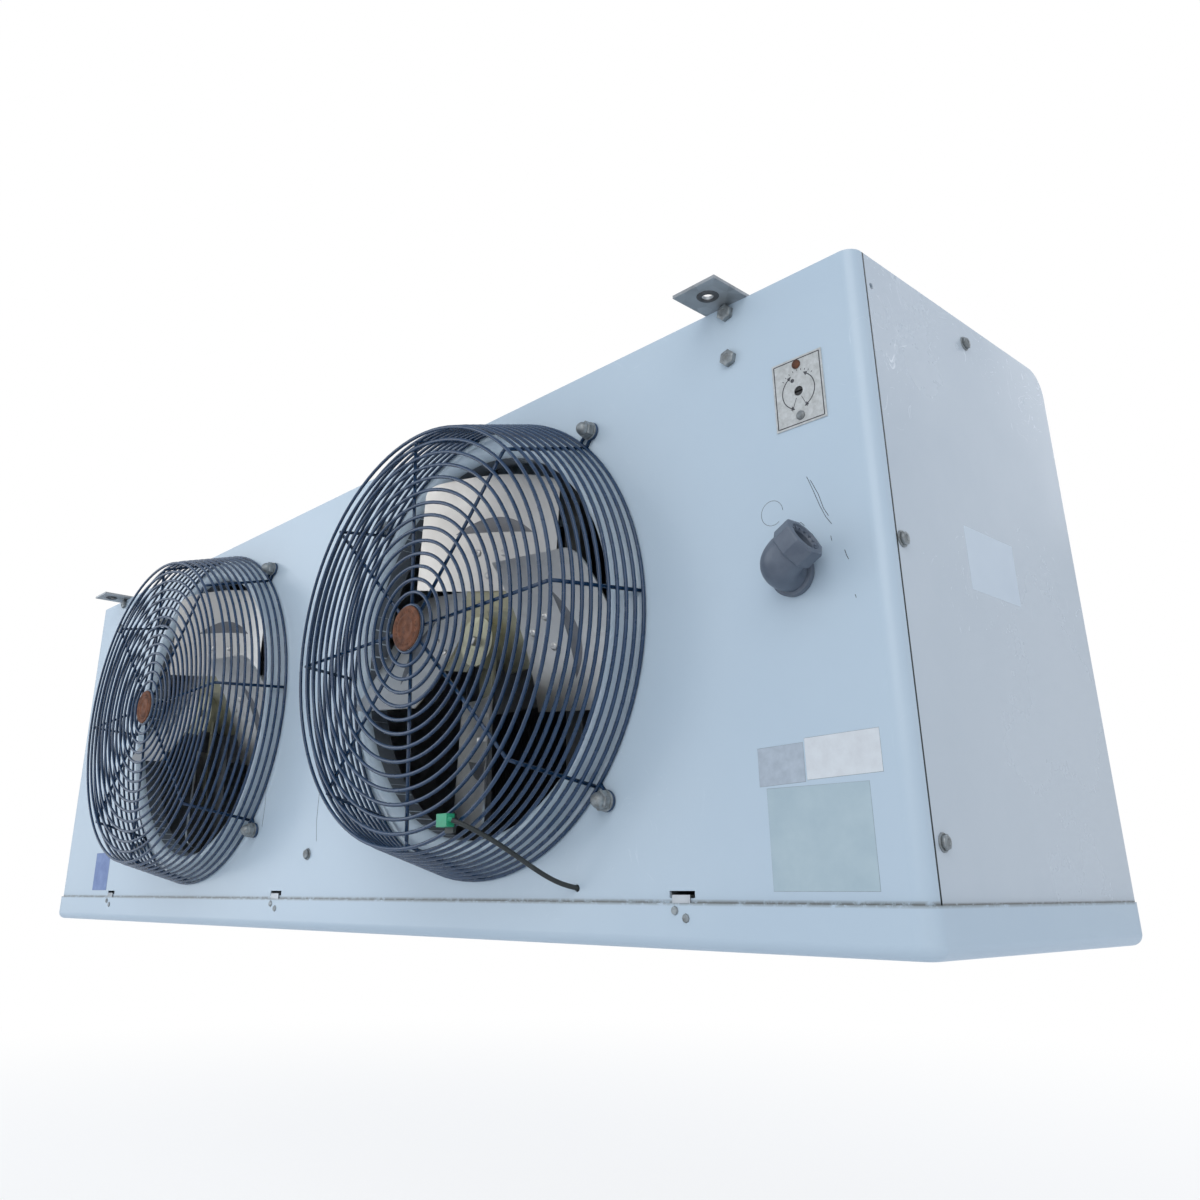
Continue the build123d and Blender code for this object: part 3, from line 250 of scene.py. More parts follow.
    def settled_dirt(self) -> bpy.types.NodeTree:
        """Speckled dirt in a level band: a mask, 1 where it is thickest."""
        if "dirt" not in self._made:
            tree, given, out = self._new(
                "Settled Dirt",
                [
                    ("Height", "NodeSocketFloat", 0.0),
                    ("Band", "NodeSocketFloat", 0.004),
                    ("Scale", "NodeSocketFloat", 160.0),
                    ("Amount", "NodeSocketFloat", 0.8),
                ],
                [("Mask", "NodeSocketFloat")],
            )
            where = tree.nodes.new("ShaderNodeTexCoord")
            split = tree.nodes.new("ShaderNodeSeparateXYZ")
            away = math_node(tree, "SUBTRACT")
            size = math_node(tree, "ABSOLUTE")
            fade = tree.nodes.new("ShaderNodeMapRange")
            fade.inputs["From Min"].default_value = 0.0
            fade.inputs["To Min"].default_value = 1.0
            fade.inputs["To Max"].default_value = 0.0
            speckle = tree.nodes.new("ShaderNodeTexNoise")
            speckle.inputs["Detail"].default_value = 5.0
            speckle.inputs["Roughness"].default_value = 0.75
            grains = tree.nodes.new("ShaderNodeMapRange")
            grains.inputs["From Min"].default_value = 0.33
            grains.inputs["From Max"].default_value = 0.5
            both = math_node(tree, "MULTIPLY")
            level = math_node(tree, "MULTIPLY", clamp=True)
            link = tree.links.new
            link(where.outputs["Object"], split.inputs["Vector"])
            link(split.outputs["Z"], away.inputs[0])
            link(given.outputs["Height"], away.inputs[1])
            link(away.outputs["Value"], size.inputs[0])
            link(size.outputs["Value"], fade.inputs["Value"])
            link(given.outputs["Band"], fade.inputs["From Max"])
            link(where.outputs["Object"], speckle.inputs["Vector"])
            link(given.outputs["Scale"], speckle.inputs["Scale"])
            link(speckle.outputs["Fac"], grains.inputs["Value"])
            link(fade.outputs["Result"], both.inputs[0])
            link(grains.outputs["Result"], both.inputs[1])
            link(both.outputs["Value"], level.inputs[0])
            link(given.outputs["Amount"], level.inputs[1])
            link(level.outputs["Value"], out.inputs["Mask"])
            self._made["dirt"] = tree
        return self._made["dirt"]

    def waves(self) -> bpy.types.NodeTree:
        """Slow hollows and swells of thin sheet, as a height."""
        if "waves" not in self._made:
            tree, given, out = self._new(
                "Sheet Waves",
                [("Scale", "NodeSocketFloat", 3.0)],
                [("Height", "NodeSocketFloat")],
            )
            where = tree.nodes.new("ShaderNodeTexCoord")
            noise = tree.nodes.new("ShaderNodeTexNoise")
            noise.inputs["Detail"].default_value = 1.0
            noise.inputs["Distortion"].default_value = 0.6
            link = tree.links.new
            link(where.outputs["Object"], noise.inputs["Vector"])
            link(given.outputs["Scale"], noise.inputs["Scale"])
            link(noise.outputs["Fac"], out.inputs["Height"])
            self._made["waves"] = tree
        return self._made["waves"]

    def spangle(self) -> bpy.types.NodeTree:
        """Zinc spangle: one grey for each crystal."""
        if "spangle" not in self._made:
            tree, given, out = self._new(
                "Zinc Spangle",
                [("Scale", "NodeSocketFloat", 90.0), ("Contrast", "NodeSocketFloat", 0.3)],
                [("Value", "NodeSocketFloat")],
            )
            where = tree.nodes.new("ShaderNodeTexCoord")
            cells = tree.nodes.new("ShaderNodeTexVoronoi")
            cells.feature = "F1"
            grey = tree.nodes.new("ShaderNodeSeparateColor")
            centre = math_node(tree, "SUBTRACT")
            centre.inputs[1].default_value = 0.5
            level = math_node(tree, "MULTIPLY_ADD")
            level.inputs[2].default_value = 0.5
            link = tree.links.new
            link(where.outputs["Object"], cells.inputs["Vector"])
            link(given.outputs["Scale"], cells.inputs["Scale"])
            link(cells.outputs["Color"], grey.inputs["Color"])
            link(grey.outputs["Red"], centre.inputs[0])
            link(centre.outputs["Value"], level.inputs[0])
            link(given.outputs["Contrast"], level.inputs[1])
            link(level.outputs["Value"], out.inputs["Value"])
            self._made["spangle"] = tree
        return self._made["spangle"]


GROUPS = GroupLibrary()


# ---------------------------------------------------------------- finishes
@dataclass(frozen=True)
class Finish:
    """A mottled surface; the other finishes add to it."""

    name: str
    colour: Colour
    second: Colour
    roughness: float = 0.5
    rough_spread: float = 0.08
    metallic: float = 0.0
    coat: float = 0.0
    mottle_scale: float = 14.0
    grain_scale: float = 900.0
    grain: float = 0.02
    specular: float = 0.5

    def build(self) -> bpy.types.Material:
        """Makes the material.

        Returns:
            The new material, with its nodes.
        """
        material = bpy.data.materials.new(self.name)
        material.use_nodes = True
        material.diffuse_color = (*self.colour, 1.0)
        tree = material.node_tree
        shader = tree.nodes["Principled BSDF"]
        shader.inputs["Metallic"].default_value = self.metallic
        shader.inputs["Coat Weight"].default_value = self.coat
        shader.inputs["Coat Roughness"].default_value = 0.2
        shader.inputs["Specular IOR Level"].default_value = self.specular
        mottle = self.place(tree, GROUPS.mottle())
        mottle.inputs["Color A"].default_value = (*self.colour, 1.0)
        mottle.inputs["Color B"].default_value = (*self.second, 1.0)
        mottle.inputs["Scale"].default_value = self.mottle_scale
        rough = tree.nodes.new("ShaderNodeMapRange")
        rough.inputs["To Min"].default_value = self.roughness
        rough.inputs["To Max"].default_value = self.roughness + self.rough_spread
        tree.links.new(mottle.outputs["Mask"], rough.inputs["Value"])
        bump = self.grain_bump(tree)
        self.dress(tree, mottle.outputs["Color"], rough.outputs["Result"], bump, shader)
        return material

    def place(self, tree: bpy.types.NodeTree, group: bpy.types.NodeTree) -> bpy.types.Node:
        """Puts a shared group into a material's tree and returns its node."""
        node = tree.nodes.new("ShaderNodeGroup")
        node.node_tree = group
        return node

    def grain_bump(self, tree: bpy.types.NodeTree) -> bpy.types.Node:
        """Adds the fine grain of the surface.

        Args:
            tree: The material's tree.

        Returns:
            The Bump node of the grain.
        """
        where = tree.nodes.new("ShaderNodeTexCoord")
        noise = tree.nodes.new("ShaderNodeTexNoise")
        noise.inputs["Scale"].default_value = self.grain_scale
        noise.inputs["Detail"].default_value = 3.0
        bump = tree.nodes.new("ShaderNodeBump")
        bump.inputs["Strength"].default_value = self.grain
        bump.inputs["Distance"].default_value = 0.001
        tree.links.new(where.outputs["Object"], noise.inputs["Vector"])
        tree.links.new(noise.outputs["Fac"], bump.inputs["Height"])
        return bump

    def blend(
        self,
        tree: bpy.types.NodeTree,
        under: bpy.types.NodeSocket,
        over: Colour,
        mask: bpy.types.NodeSocket,
    ) -> bpy.types.NodeSocket:
        """Lays a plain colour over another where the mask is 1.

        Args:
            tree: The material's tree.
            under: Colour underneath.
            over: Colour on top.
            mask: Where the top colour shows.

        Returns:
            The blended colour.
        """
        mix = tree.nodes.new("ShaderNodeMix")
        mix.data_type = "RGBA"
        mix.inputs["B"].default_value = (*over, 1.0)
        tree.links.new(under, mix.inputs["A"])
        tree.links.new(mask, mix.inputs["Factor"])
        return mix.outputs["Result"]

    def dress(
        self,
        tree: bpy.types.NodeTree,
        colour: bpy.types.NodeSocket,
        rough: bpy.types.NodeSocket,
        bump: bpy.types.Node,
        shader: bpy.types.Node,
    ) -> None:
        """Joins colour, roughness and bump to the shader.

        Args:
            tree: The material's tree.
            colour: Mottled colour.
            rough: Varied roughness.
            bump: Bump node of the grain.
            shader: The Principled BSDF.
        """
        tree.links.new(colour, shader.inputs["Base Color"])
        tree.links.new(rough, shader.inputs["Roughness"])
        tree.links.new(bump.outputs["Normal"], shader.inputs["Normal"])


@dataclass(frozen=True)
class PaintFinish(Finish):
    """Glossy baked paint with fine scratches and dirt along one level."""

    dirt_height: float = 0.0
    dirt_band: float = 0.004
    dirt: Colour = (0.10, 0.09, 0.06)
    scratch: Colour = (0.93, 0.96, 1.0)
    scratch_amount: float = 0.35
    frost: float = 0.0
    marks_from: float = -9.0
    marks_full: float = -8.0
    wave_scale: float = 3.2
    wave: float = 0.3

    def dress(
        self,
        tree: bpy.types.NodeTree,
        colour: bpy.types.NodeSocket,
        rough: bpy.types.NodeSocket,
        bump: bpy.types.Node,
        shader: bpy.types.Node,
    ) -> None:
        """Adds scratches and dirt over the paint, then joins the shader.

        Args:
            tree: The material's tree.
            colour: Mottled colour.
            rough: Varied roughness.
            bump: Bump node of the grain.
            shader: The Principled BSDF.
        """
        marks = self.place(tree, GROUPS.scratches())
        marks.inputs["Scale"].default_value = 22.0
        marks.inputs["Amount"].default_value = self.scratch_amount
        marks.inputs["From Height"].default_value = self.marks_from
        marks.inputs["Full Height"].default_value = self.marks_full
        colour = self.blend(tree, colour, self.scratch, marks.outputs["Mask"])
        dirt = self.place(tree, GROUPS.settled_dirt())
        dirt.inputs["Height"].default_value = self.dirt_height
        dirt.inputs["Band"].default_value = self.dirt_band
        colour = self.blend(tree, colour, self.dirt, dirt.outputs["Mask"])
        sheet = self.place(tree, GROUPS.waves())
        sheet.inputs["Scale"].default_value = self.wave_scale
        swell = tree.nodes.new("ShaderNodeBump")
        swell.inputs["Strength"].default_value = self.wave
        swell.inputs["Distance"].default_value = 0.012
        tree.links.new(sheet.outputs["Height"], swell.inputs["Height"])
        tree.links.new(swell.outputs["Normal"], bump.inputs["Normal"])
        if self.frost:
            rough = self.frosted(tree, rough, swell)
        super().dress(tree, colour, rough, bump, shader)

    def frosted(
        self, tree: bpy.types.NodeTree, rough: bpy.types.NodeSocket, bump: bpy.types.Node
    ) -> bpy.types.NodeSocket:
        """Adds the dull streaks of rubbed paint to the roughness and the bump.

        Args:
            tree: The material's tree.
            rough: Roughness so far.
            bump: Bump node of the grain.

        Returns:
            The new roughness.
        """
        streaks = self.place(tree, GROUPS.scratches())
        streaks.inputs["Scale"].default_value = 60.0
        streaks.inputs["Amount"].default_value = self.frost
        streaks.inputs["Stretch"].default_value = (1.0, 1.0, 3.0)
        streaks.inputs["From Height"].default_value = self.marks_from
        streaks.inputs["Full Height"].default_value = self.marks_full
        lift = math_node(tree, "ADD", clamp=True)
        tree.links.new(rough, lift.inputs[0])
        tree.links.new(streaks.outputs["Mask"], lift.inputs[1])
        relief = tree.nodes.new("ShaderNodeBump")
        relief.inputs["Strength"].default_value = 0.25
        relief.inputs["Distance"].default_value = 0.0006
        tree.links.new(streaks.outputs["Mask"], relief.inputs["Height"])
        tree.links.new(relief.outputs["Normal"], bump.inputs["Normal"])
        return lift.outputs["Value"]


@dataclass(frozen=True)
class ZincFinish(Finish):
    """Zinc-coated steel with its spangle."""

    spangle_scale: float = 90.0
    contrast: float = 0.35

    def dress(
        self,
        tree: bpy.types.NodeTree,
        colour: bpy.types.NodeSocket,
        rough: bpy.types.NodeSocket,
        bump: bpy.types.Node,
        shader: bpy.types.Node,
    ) -> None:
        """Multiplies the colour by the spangle, then joins the shader.

        Args:
            tree: The material's tree.
            colour: Mottled colour.
            rough: Varied roughness.
            bump: Bump node of the grain.
            shader: The Principled BSDF.
        """
        cells = self.place(tree, GROUPS.spangle())
        cells.inputs["Scale"].default_value = self.spangle_scale
        cells.inputs["Contrast"].default_value = self.contrast
        shade = tree.nodes.new("ShaderNodeMapRange")
        shade.inputs["To Min"].default_value = 0.55
        shade.inputs["To Max"].default_value = 1.25
        mix = tree.nodes.new("ShaderNodeVectorMath")
        mix.operation = "SCALE"
        tree.links.new(cells.outputs["Value"], shade.inputs["Value"])
        tree.links.new(colour, mix.inputs[0])
        tree.links.new(shade.outputs["Result"], mix.inputs["Scale"])
        super().dress(tree, mix.outputs["Vector"], rough, bump, shader)


@dataclass(frozen=True)
class BrushedFinish(Finish):
    """Metal with drawn or rolled lines along one direction."""

    lines: tuple[float, float, float] = (1.0, 1.0, 40.0)
    line_scale: float = 40.0
    mark: Colour = (0.25, 0.24, 0.22)
    mark_amount: float = 0.4

    def dress(
        self,
        tree: bpy.types.NodeTree,
        colour: bpy.types.NodeSocket,
        rough: bpy.types.NodeSocket,
        bump: bpy.types.Node,
        shader: bpy.types.Node,
    ) -> None:
        """Lays the drawn lines over the metal, then joins the shader.

        Args:
            tree: The material's tree.
            colour: Mottled colour.
            rough: Varied roughness.
            bump: Bump node of the grain.
            shader: The Principled BSDF.
        """
        marks = self.place(tree, GROUPS.scratches())
        marks.inputs["Scale"].default_value = self.line_scale
        marks.inputs["Amount"].default_value = self.mark_amount
        marks.inputs["Stretch"].default_value = self.lines
        colour = self.blend(tree, colour, self.mark, marks.outputs["Mask"])
        super().dress(tree, colour, rough, bump, shader)


FINISHES: dict[Slot, Finish] = {
    Slot.WIRE: Finish(
        "Navy wire coating", (0.004, 0.026, 0.070), (0.009, 0.040, 0.10), 0.2, 0.16,
        mottle_scale=40.0, specular=0.6,
    ),
    Slot.GALVANISED: ZincFinish(
        "Galvanised sheet", (0.52, 0.54, 0.56), (0.34, 0.35, 0.35), 0.38, 0.2, 0.85, grain=0.05,
    ),
    Slot.ALUMINIUM: BrushedFinish(
        "Bare blade sheet", (0.74, 0.73, 0.71), (0.62, 0.60, 0.57), 0.3, 0.12, 1.0,
        mottle_scale=9.0, lines=(1.0, 1.0, 9.0), line_scale=12.0, mark=(0.5, 0.48, 0.45),
        mark_amount=0.25,
    ),
    Slot.YELLOW_ZINC: ZincFinish(
        "Yellow zinc", (0.46, 0.44, 0.31), (0.30, 0.30, 0.24), 0.36, 0.2, 0.85,
        spangle_scale=160.0, contrast=0.25,
    ),
    Slot.MOTOR: Finish(
        "Motor enamel", (0.018, 0.019, 0.022), (0.05, 0.05, 0.05), 0.38, 0.2, mottle_scale=30.0,
        grain=0.08,
    ),
    # Fin stock far darker than bare aluminium: painted shade of the coil inside the cabinet.
    Slot.FINS: BrushedFinish(
        "Fin stock darkened as painted shade", (0.15, 0.155, 0.16), (0.09, 0.09, 0.092), 0.45, 0.2, 0.7,
        lines=(1.0, 1.0, 6.0), line_scale=18.0,
    ),
    Slot.COPPER: Finish(
        "Tarnished copper", (0.52, 0.25, 0.13), (0.24, 0.12, 0.07), 0.34, 0.25, 0.9,
        mottle_scale=22.0,
    ),
    Slot.SCREW: ZincFinish(
        "Weathered screw", (0.36, 0.39, 0.40), (0.22, 0.225, 0.22), 0.4, 0.25, 0.7,
        mottle_scale=220.0, spangle_scale=400.0, contrast=0.2, grain=0.2,
    ),
    Slot.RUST: Finish(
        "Rusty disc", (0.20, 0.072, 0.032), (0.075, 0.034, 0.022), 0.72, 0.2, 0.1,
        mottle_scale=150.0, grain_scale=700.0, grain=0.5,
    ),
    Slot.PLASTIC: Finish(
        "Grey moulding", (0.085, 0.105, 0.14), (0.125, 0.148, 0.185), 0.36, 0.16,
        mottle_scale=60.0, grain=0.12,
    ),
    Slot.DIAL: BrushedFinish(
        "Dial foil", (0.60, 0.61, 0.60), (0.44, 0.445, 0.43), 0.34, 0.2, 0.3, mottle_scale=260.0,
        lines=(20.0, 1.0, 1.0), line_scale=60.0, mark=(0.3, 0.3, 0.29), mark_amount=0.3,
    ),
    Slot.SHEATH: Finish(
        "Black sheath", (0.012, 0.016, 0.016), (0.03, 0.036, 0.034), 0.42, 0.15,
        mottle_scale=90.0,
    ),
    Slot.GREEN: Finish(
        "Green moulding", (0.012, 0.24, 0.115), (0.02, 0.33, 0.17), 0.32, 0.12,
        mottle_scale=120.0,
    ),
    Slot.SHAFT: BrushedFinish(
        "Ground shaft", (0.5, 0.5, 0.5), (0.3, 0.29, 0.27), 0.28, 0.2, 1.0,
    ),
}


class Paintbox:
    """Holds the built materials and dresses the frame's own nodes."""

    def __init__(self, pan_edge: float) -> None:
        """Builds every finish.

        Args:
            pan_edge: Height of the drain pan's edge, where dirt settles.
        """
        # The paints' blue tint is a painted reflection of blue sky; the paint itself is white.
        paint = PaintFinish(
            "White paint", (0.465, 0.565, 0.65), (0.50, 0.595, 0.67), 0.3, 0.08, coat=0.15,
            mottle_scale=3.0, grain=0.012, scratch_amount=0.12,
            dirt_height=pan_edge + 0.3 * MM, dirt_band=2.2 * MM,
        )
        end_paint = PaintFinish(
            "Rubbed white paint", (0.50, 0.56, 0.615), (0.545, 0.60, 0.65), 0.2, 0.1, coat=0.3,
            mottle_scale=5.0, grain=0.03, dirt_height=pan_edge + 0.2 * MM, dirt_band=1.2 * MM,
            scratch_amount=0.75, frost=0.6, marks_from=pan_edge + 0.15, marks_full=pan_edge + 0.36,
        )
        self.materials = {slot: finish.build() for slot, finish in FINISHES.items()}
        self.materials[Slot.PAINT] = paint.build()
        self.rubbed = end_paint.build()
        self.ink = Finish(
            "Dark marks", (0.03, 0.03, 0.035), (0.10, 0.10, 0.11), 0.5, 0.2, mottle_scale=400.0
        ).build()
        # Darker paint for the inside of the fan throats: painted shade of the cabinet's inside.
        self.throat_shade = Finish(
            "Throat paint darkened as painted shade", (0.13, 0.155, 0.185), (0.075, 0.085, 0.10), 0.6, 0.2, mottle_scale=16.0
        ).build()
        self.faded = Finish(
            "Faded border", (0.20, 0.23, 0.26), (0.34, 0.38, 0.42), 0.5, 0.2, mottle_scale=200.0
        ).build()
        # Same blue tint as the paints: painted sky reflection.
        self.ghost = Finish(
            "Clean paint", (0.585, 0.66, 0.73), (0.565, 0.64, 0.71), 0.3, 0.05, mottle_scale=30.0
        ).build()
        # Darker blade sheet for the crescents: painted shade of the pressed relief.
        self.pressed = Finish(
            "Blade sheet darkened as painted shade", (0.24, 0.24, 0.25), (0.17, 0.17, 0.175), 0.3, 0.12, 1.0,
            mottle_scale=30.0,
        ).build()
        self.hollow = Finish(
            "Dark socket", (0.016, 0.016, 0.017), (0.04, 0.038, 0.035), 0.5, 0.2,
            mottle_scale=300.0,
        ).build()
        # Zinc darkened as painted shade, for the motor mounts inside the cabinet and the lips round
        # the hanger holes.
        self.shaded = ZincFinish(
            "Zinc darkened as painted shade", (0.16, 0.165, 0.17), (0.09, 0.09, 0.09), 0.45, 0.2, 0.7
        ).build()

    def __getitem__(self, slot: Slot) -> bpy.types.Material:
        """Returns the material of a slot."""
        return self.materials[slot]

    def dress(self, frame: dict) -> None:
        """Gives every node of the frame the material of its slot.
        """
        for entry in frame["record"]["subparts"]:
            node = frame["nodes"][entry["node"]]
            material = self.materials[Slot(entry["material_slot"])]
            if entry["node"].startswith("end_panel"):
                material = self.rubbed
            # Motor mounts take the darkened zinc: painted shade of the cabinet's inside.
            if entry["node"].startswith("motor_mount"):
                material = self.shaded
            if entry["node"] == "defrost_spindle":
                material = self.hollow
            for place in node.material_slots:
                place.material = material


# ---------------------------------------------------------------- mesh making
def mesh_object(name: str, bm: bmesh.types.BMesh, material: bpy.types.Material) -> bpy.types.Object:
    """Turns a bmesh into a shaded object of the scene.

    Args:
        name: The piece's name.
        bm: Its geometry, in the row frame. It is freed.
        material: Its finish.

    Returns:
        The new object.
    """
    mesh = bpy.data.meshes.new(name)
    bm.normal_update()
    bm.to_mesh(mesh)
    bm.free()
    mesh.materials.append(material)
    for face in mesh.polygons:
        face.use_smooth = True
    piece = bpy.data.objects.new(name, mesh)
    bpy.context.scene.collection.objects.link(piece)
    return piece


def sharpen(piece: bpy.types.Object, angle: float = 35.0) -> None:
    """Keeps the edges of a piece crisp where its faces meet sharply.

    Args:
        piece: The piece.
        angle: Faces that meet at more than this, in degrees, keep a crisp edge.
    """
    bm = bmesh.new()
    bm.from_mesh(piece.data)
    for edge in bm.edges:
        edge.smooth = len(edge.link_faces) == 2 and edge.calc_face_angle(0.0) < math.radians(angle)
    bm.to_mesh(piece.data)
    bm.free()


def add_tube(
    bm: bmesh.types.BMesh,
    points: Sequence[Vector],
    radius: float,
    sides: int = 8,
    closed: bool = False,
) -> None:
    """Adds a round tube along points.

    Args:
        bm: Where it goes.
        points: Its centre line.
        radius: Radius of the tube.
        sides: Faces round it.
        closed: Whether its end joins its start.
    """
    count = len(points)
    normal = None
    rings = []
    for k, point in enumerate(points):
        before = points[k - 1] if closed or k else points[k]
        after = points[(k + 1) % count] if closed or k < count - 1 else points[k]
        along = (after - before).normalized()
        if normal is None:
            normal = along.orthogonal().normalized()
        normal = (normal - along * normal.dot(along)).normalized()
        side = along.cross(normal)
        rings.append(
            [
                bm.verts.new(
                    point
                    + radius * (math.cos(a) * normal + math.sin(a) * side)
                )
                for a in (math.tau * j / sides for j in range(sides))
            ]
        )
    spans = count if closed else count - 1
    for k in range(spans):
        here, there = rings[k], rings[(k + 1) % count]
        turn = 0
        if closed and k == spans - 1:
            turn = min(range(sides), key=lambda j: (there[j].co - here[0].co).length)
        for j in range(sides):
            bm.faces.new(
                (
                    here[j],
                    here[(j + 1) % sides],
                    there[(j + 1 + turn) % sides],
                    there[(j + turn) % sides],
                )
            )
    if not closed:
        bm.faces.new(list(reversed(rings[0])))
        bm.faces.new(rings[-1])


class Ring(NamedTuple):
    """One ring of a turned form: its radius, its place along the axis and its flats."""

    radius: float
    height: float
    flats: int = 0

    def reach(self, angle: float) -> float:
        """Returns the distance from the axis at an angle; over flats, radius is to the flat."""
        if not self.flats:
            return self.radius
        step = math.tau / self.flats
        return self.radius / math.cos((angle + step / 2) % step - step / 2)


def add_turned(
    bm: bmesh.types.BMesh,
    profile: Sequence[Ring],
    centre: Vector,
    axis: Vector,
    sides: int = 32,
    open_ended: bool = False,
) -> None:
    """Adds a turned form, round or with flats, about an axis.

    Args:
        bm: Where it goes.
        profile: Its rings, from the foot to the top.
        centre: Foot of the axis.
        axis: Its direction.
        sides: Faces round it.
        open_ended: Whether its first and last ring stay open.
    """
    axis = axis.normalized()
    across = axis.orthogonal().normalized()
    other = axis.cross(across)
    turns = [math.tau * j / sides for j in range(sides)]
    rings: list[list[bmesh.types.BMVert]] = []
    for ring in profile:
        middle = centre + axis * ring.height
        if ring.radius < 1e-6:
            rings.append([bm.verts.new(middle)])
            continue
        spots = [
            middle + ring.reach(t) * (math.cos(t) * across + math.sin(t) * other) for t in turns
        ]
        rings.append([bm.verts.new(spot) for spot in spots])
    for low, high in zip(rings, rings[1:]):
        for j in range(sides):
            after = (j + 1) % sides
            if len(low) == 1:
                bm.faces.new((low[0], high[after], high[j]))
            elif len(high) == 1:
                bm.faces.new((low[j], low[after], high[0]))
            else:
                bm.faces.new((low[j], low[after], high[after], high[j]))
    if len(rings[0]) > 1 and not open_ended:
        bm.faces.new(list(reversed(rings[0])))
    if len(rings[-1]) > 1 and not open_ended:
        bm.faces.new(rings[-1])


def add_plate(
    bm: bmesh.types.BMesh, outline: Sequence[tuple[float, float]], back: float, thick: float
) -> None:
    """Adds a thin upright plate in front of a plane.

    Args:
        bm: Where it goes.
        outline: Its corners, x and z.
        back: The y of its back face.
        thick: Its thickness, towards -Y.
    """
    rear = [bm.verts.new((x, back, z)) for x, z in outline]
    front = [bm.verts.new((x, back - thick, z)) for x, z in outline]
    count = len(outline)
    bm.faces.new(rear)
    bm.faces.new(list(reversed(front)))
    for k in range(count):
        after = (k + 1) % count
        bm.faces.new((rear[k], front[k], front[after], rear[after]))
    bmesh.ops.recalc_face_normals(bm, faces=bm.faces)


def add_block(bm: bmesh.types.BMesh, low: Vector, high: Vector, bevel: float = 0.0) -> None:
    """Adds a block between two corners, with bevelled edges if asked.

    Args:
        bm: Where it goes.
        low: Lowest corner.
        high: Highest corner.
        bevel: Width of the bevel.
    """
    made = bmesh.ops.create_cube(bm, size=1.0)
    middle, size = (low + high) / 2, high - low
    for vert in made["verts"]:
        vert.co = Vector(vert.co[k] * size[k] + middle[k] for k in range(3))
    if bevel:
        edges = list({edge for vert in made["verts"] for edge in vert.link_edges})
        bmesh.ops.bevel(bm, geom=edges, offset=bevel, segments=2, affect="EDGES")


def middle_of(node: str) -> Vector:
    """Returns the middle of a node's box."""
    low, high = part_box(node)
    return (low + high) / 2


def islands(node: bpy.types.Object) -> list[list[Vector]]:
    """Finds the loose solids of a node.

    Args:
        node: The node's object.

    Returns:
        The corners of each solid, in order of x.
    """
    bm = bmesh.new()
    bm.from_mesh(node.data)
    bmesh.ops.remove_doubles(bm, verts=bm.verts, dist=1e-6)
    left = set(bm.verts)
    solids = []
    while left:
        stack = [left.pop()]
        found = []
        while stack:
            vert = stack.pop()
            found.append(vert.co.copy())
            for edge in vert.link_edges:
                other = edge.other_vert(vert)
                if other in left:
                    left.remove(other)
                    stack.append(other)
        solids.append(found)
    bm.free()
    return sorted(solids, key=lambda points: sum(point.x for point in points) / len(points))


def middle(points: Sequence[Vector]) -> Vector:
    """Returns the middle of the box round some points."""
    return Vector((min(p[k] for p in points) + max(p[k] for p in points)) / 2 for k in range(3))


@dataclass(frozen=True)
class Cabinet:
    """Planes of the cabinet that fittings stand on."""

    frame: dict
    hanger_top: float = 0.0

    @property
    def face(self) -> float:
        """The y of the front face."""
        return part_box("guard_skirt_1")[1].y

    @property
    def edge(self) -> float:
        """The z of the drain pan's edge, under the front panel."""
        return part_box("drain_pan")[1].z

    def on_face(self, x: float, z: float, out: float = 0.0) -> Vector:
        """Returns the point at x and z above the pan, in millimetres, out of the front face."""
        return Vector((x * MM, self.face - out * MM, self.edge + z * MM))

    def solids(self, node: str) -> list[list[Vector]]:
        """Returns the corners of each solid of a node."""
        return islands(self.frame["nodes"][node])

    def seat(self, points: Sequence[Vector]) -> tuple[Vector, Vector]:
        """Finds the cabinet face that a screw goes through.

        Args:
            points: Corners of the screw.

        Returns:
            Where its axis meets that face, and the direction out of it.
        """
        low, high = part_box("front_panel")
        planes = (
            (1, self.face, -1.0), (0, low.x, -1.0), (0, high.x, 1.0), (2, self.hanger_top, 1.0),
        )
        spot = middle(points)
        for axis, value, sign in planes:
            near = min(point[axis] for point in points)
            far = max(point[axis] for point in points)
            if near < value - MM and far > value + MM:
                spot[axis] = value
                out = Vector((0.0, 0.0, 0.0))
                out[axis] = sign
                return spot, out
        raise ValueError("a screw crosses no face of the cabinet")


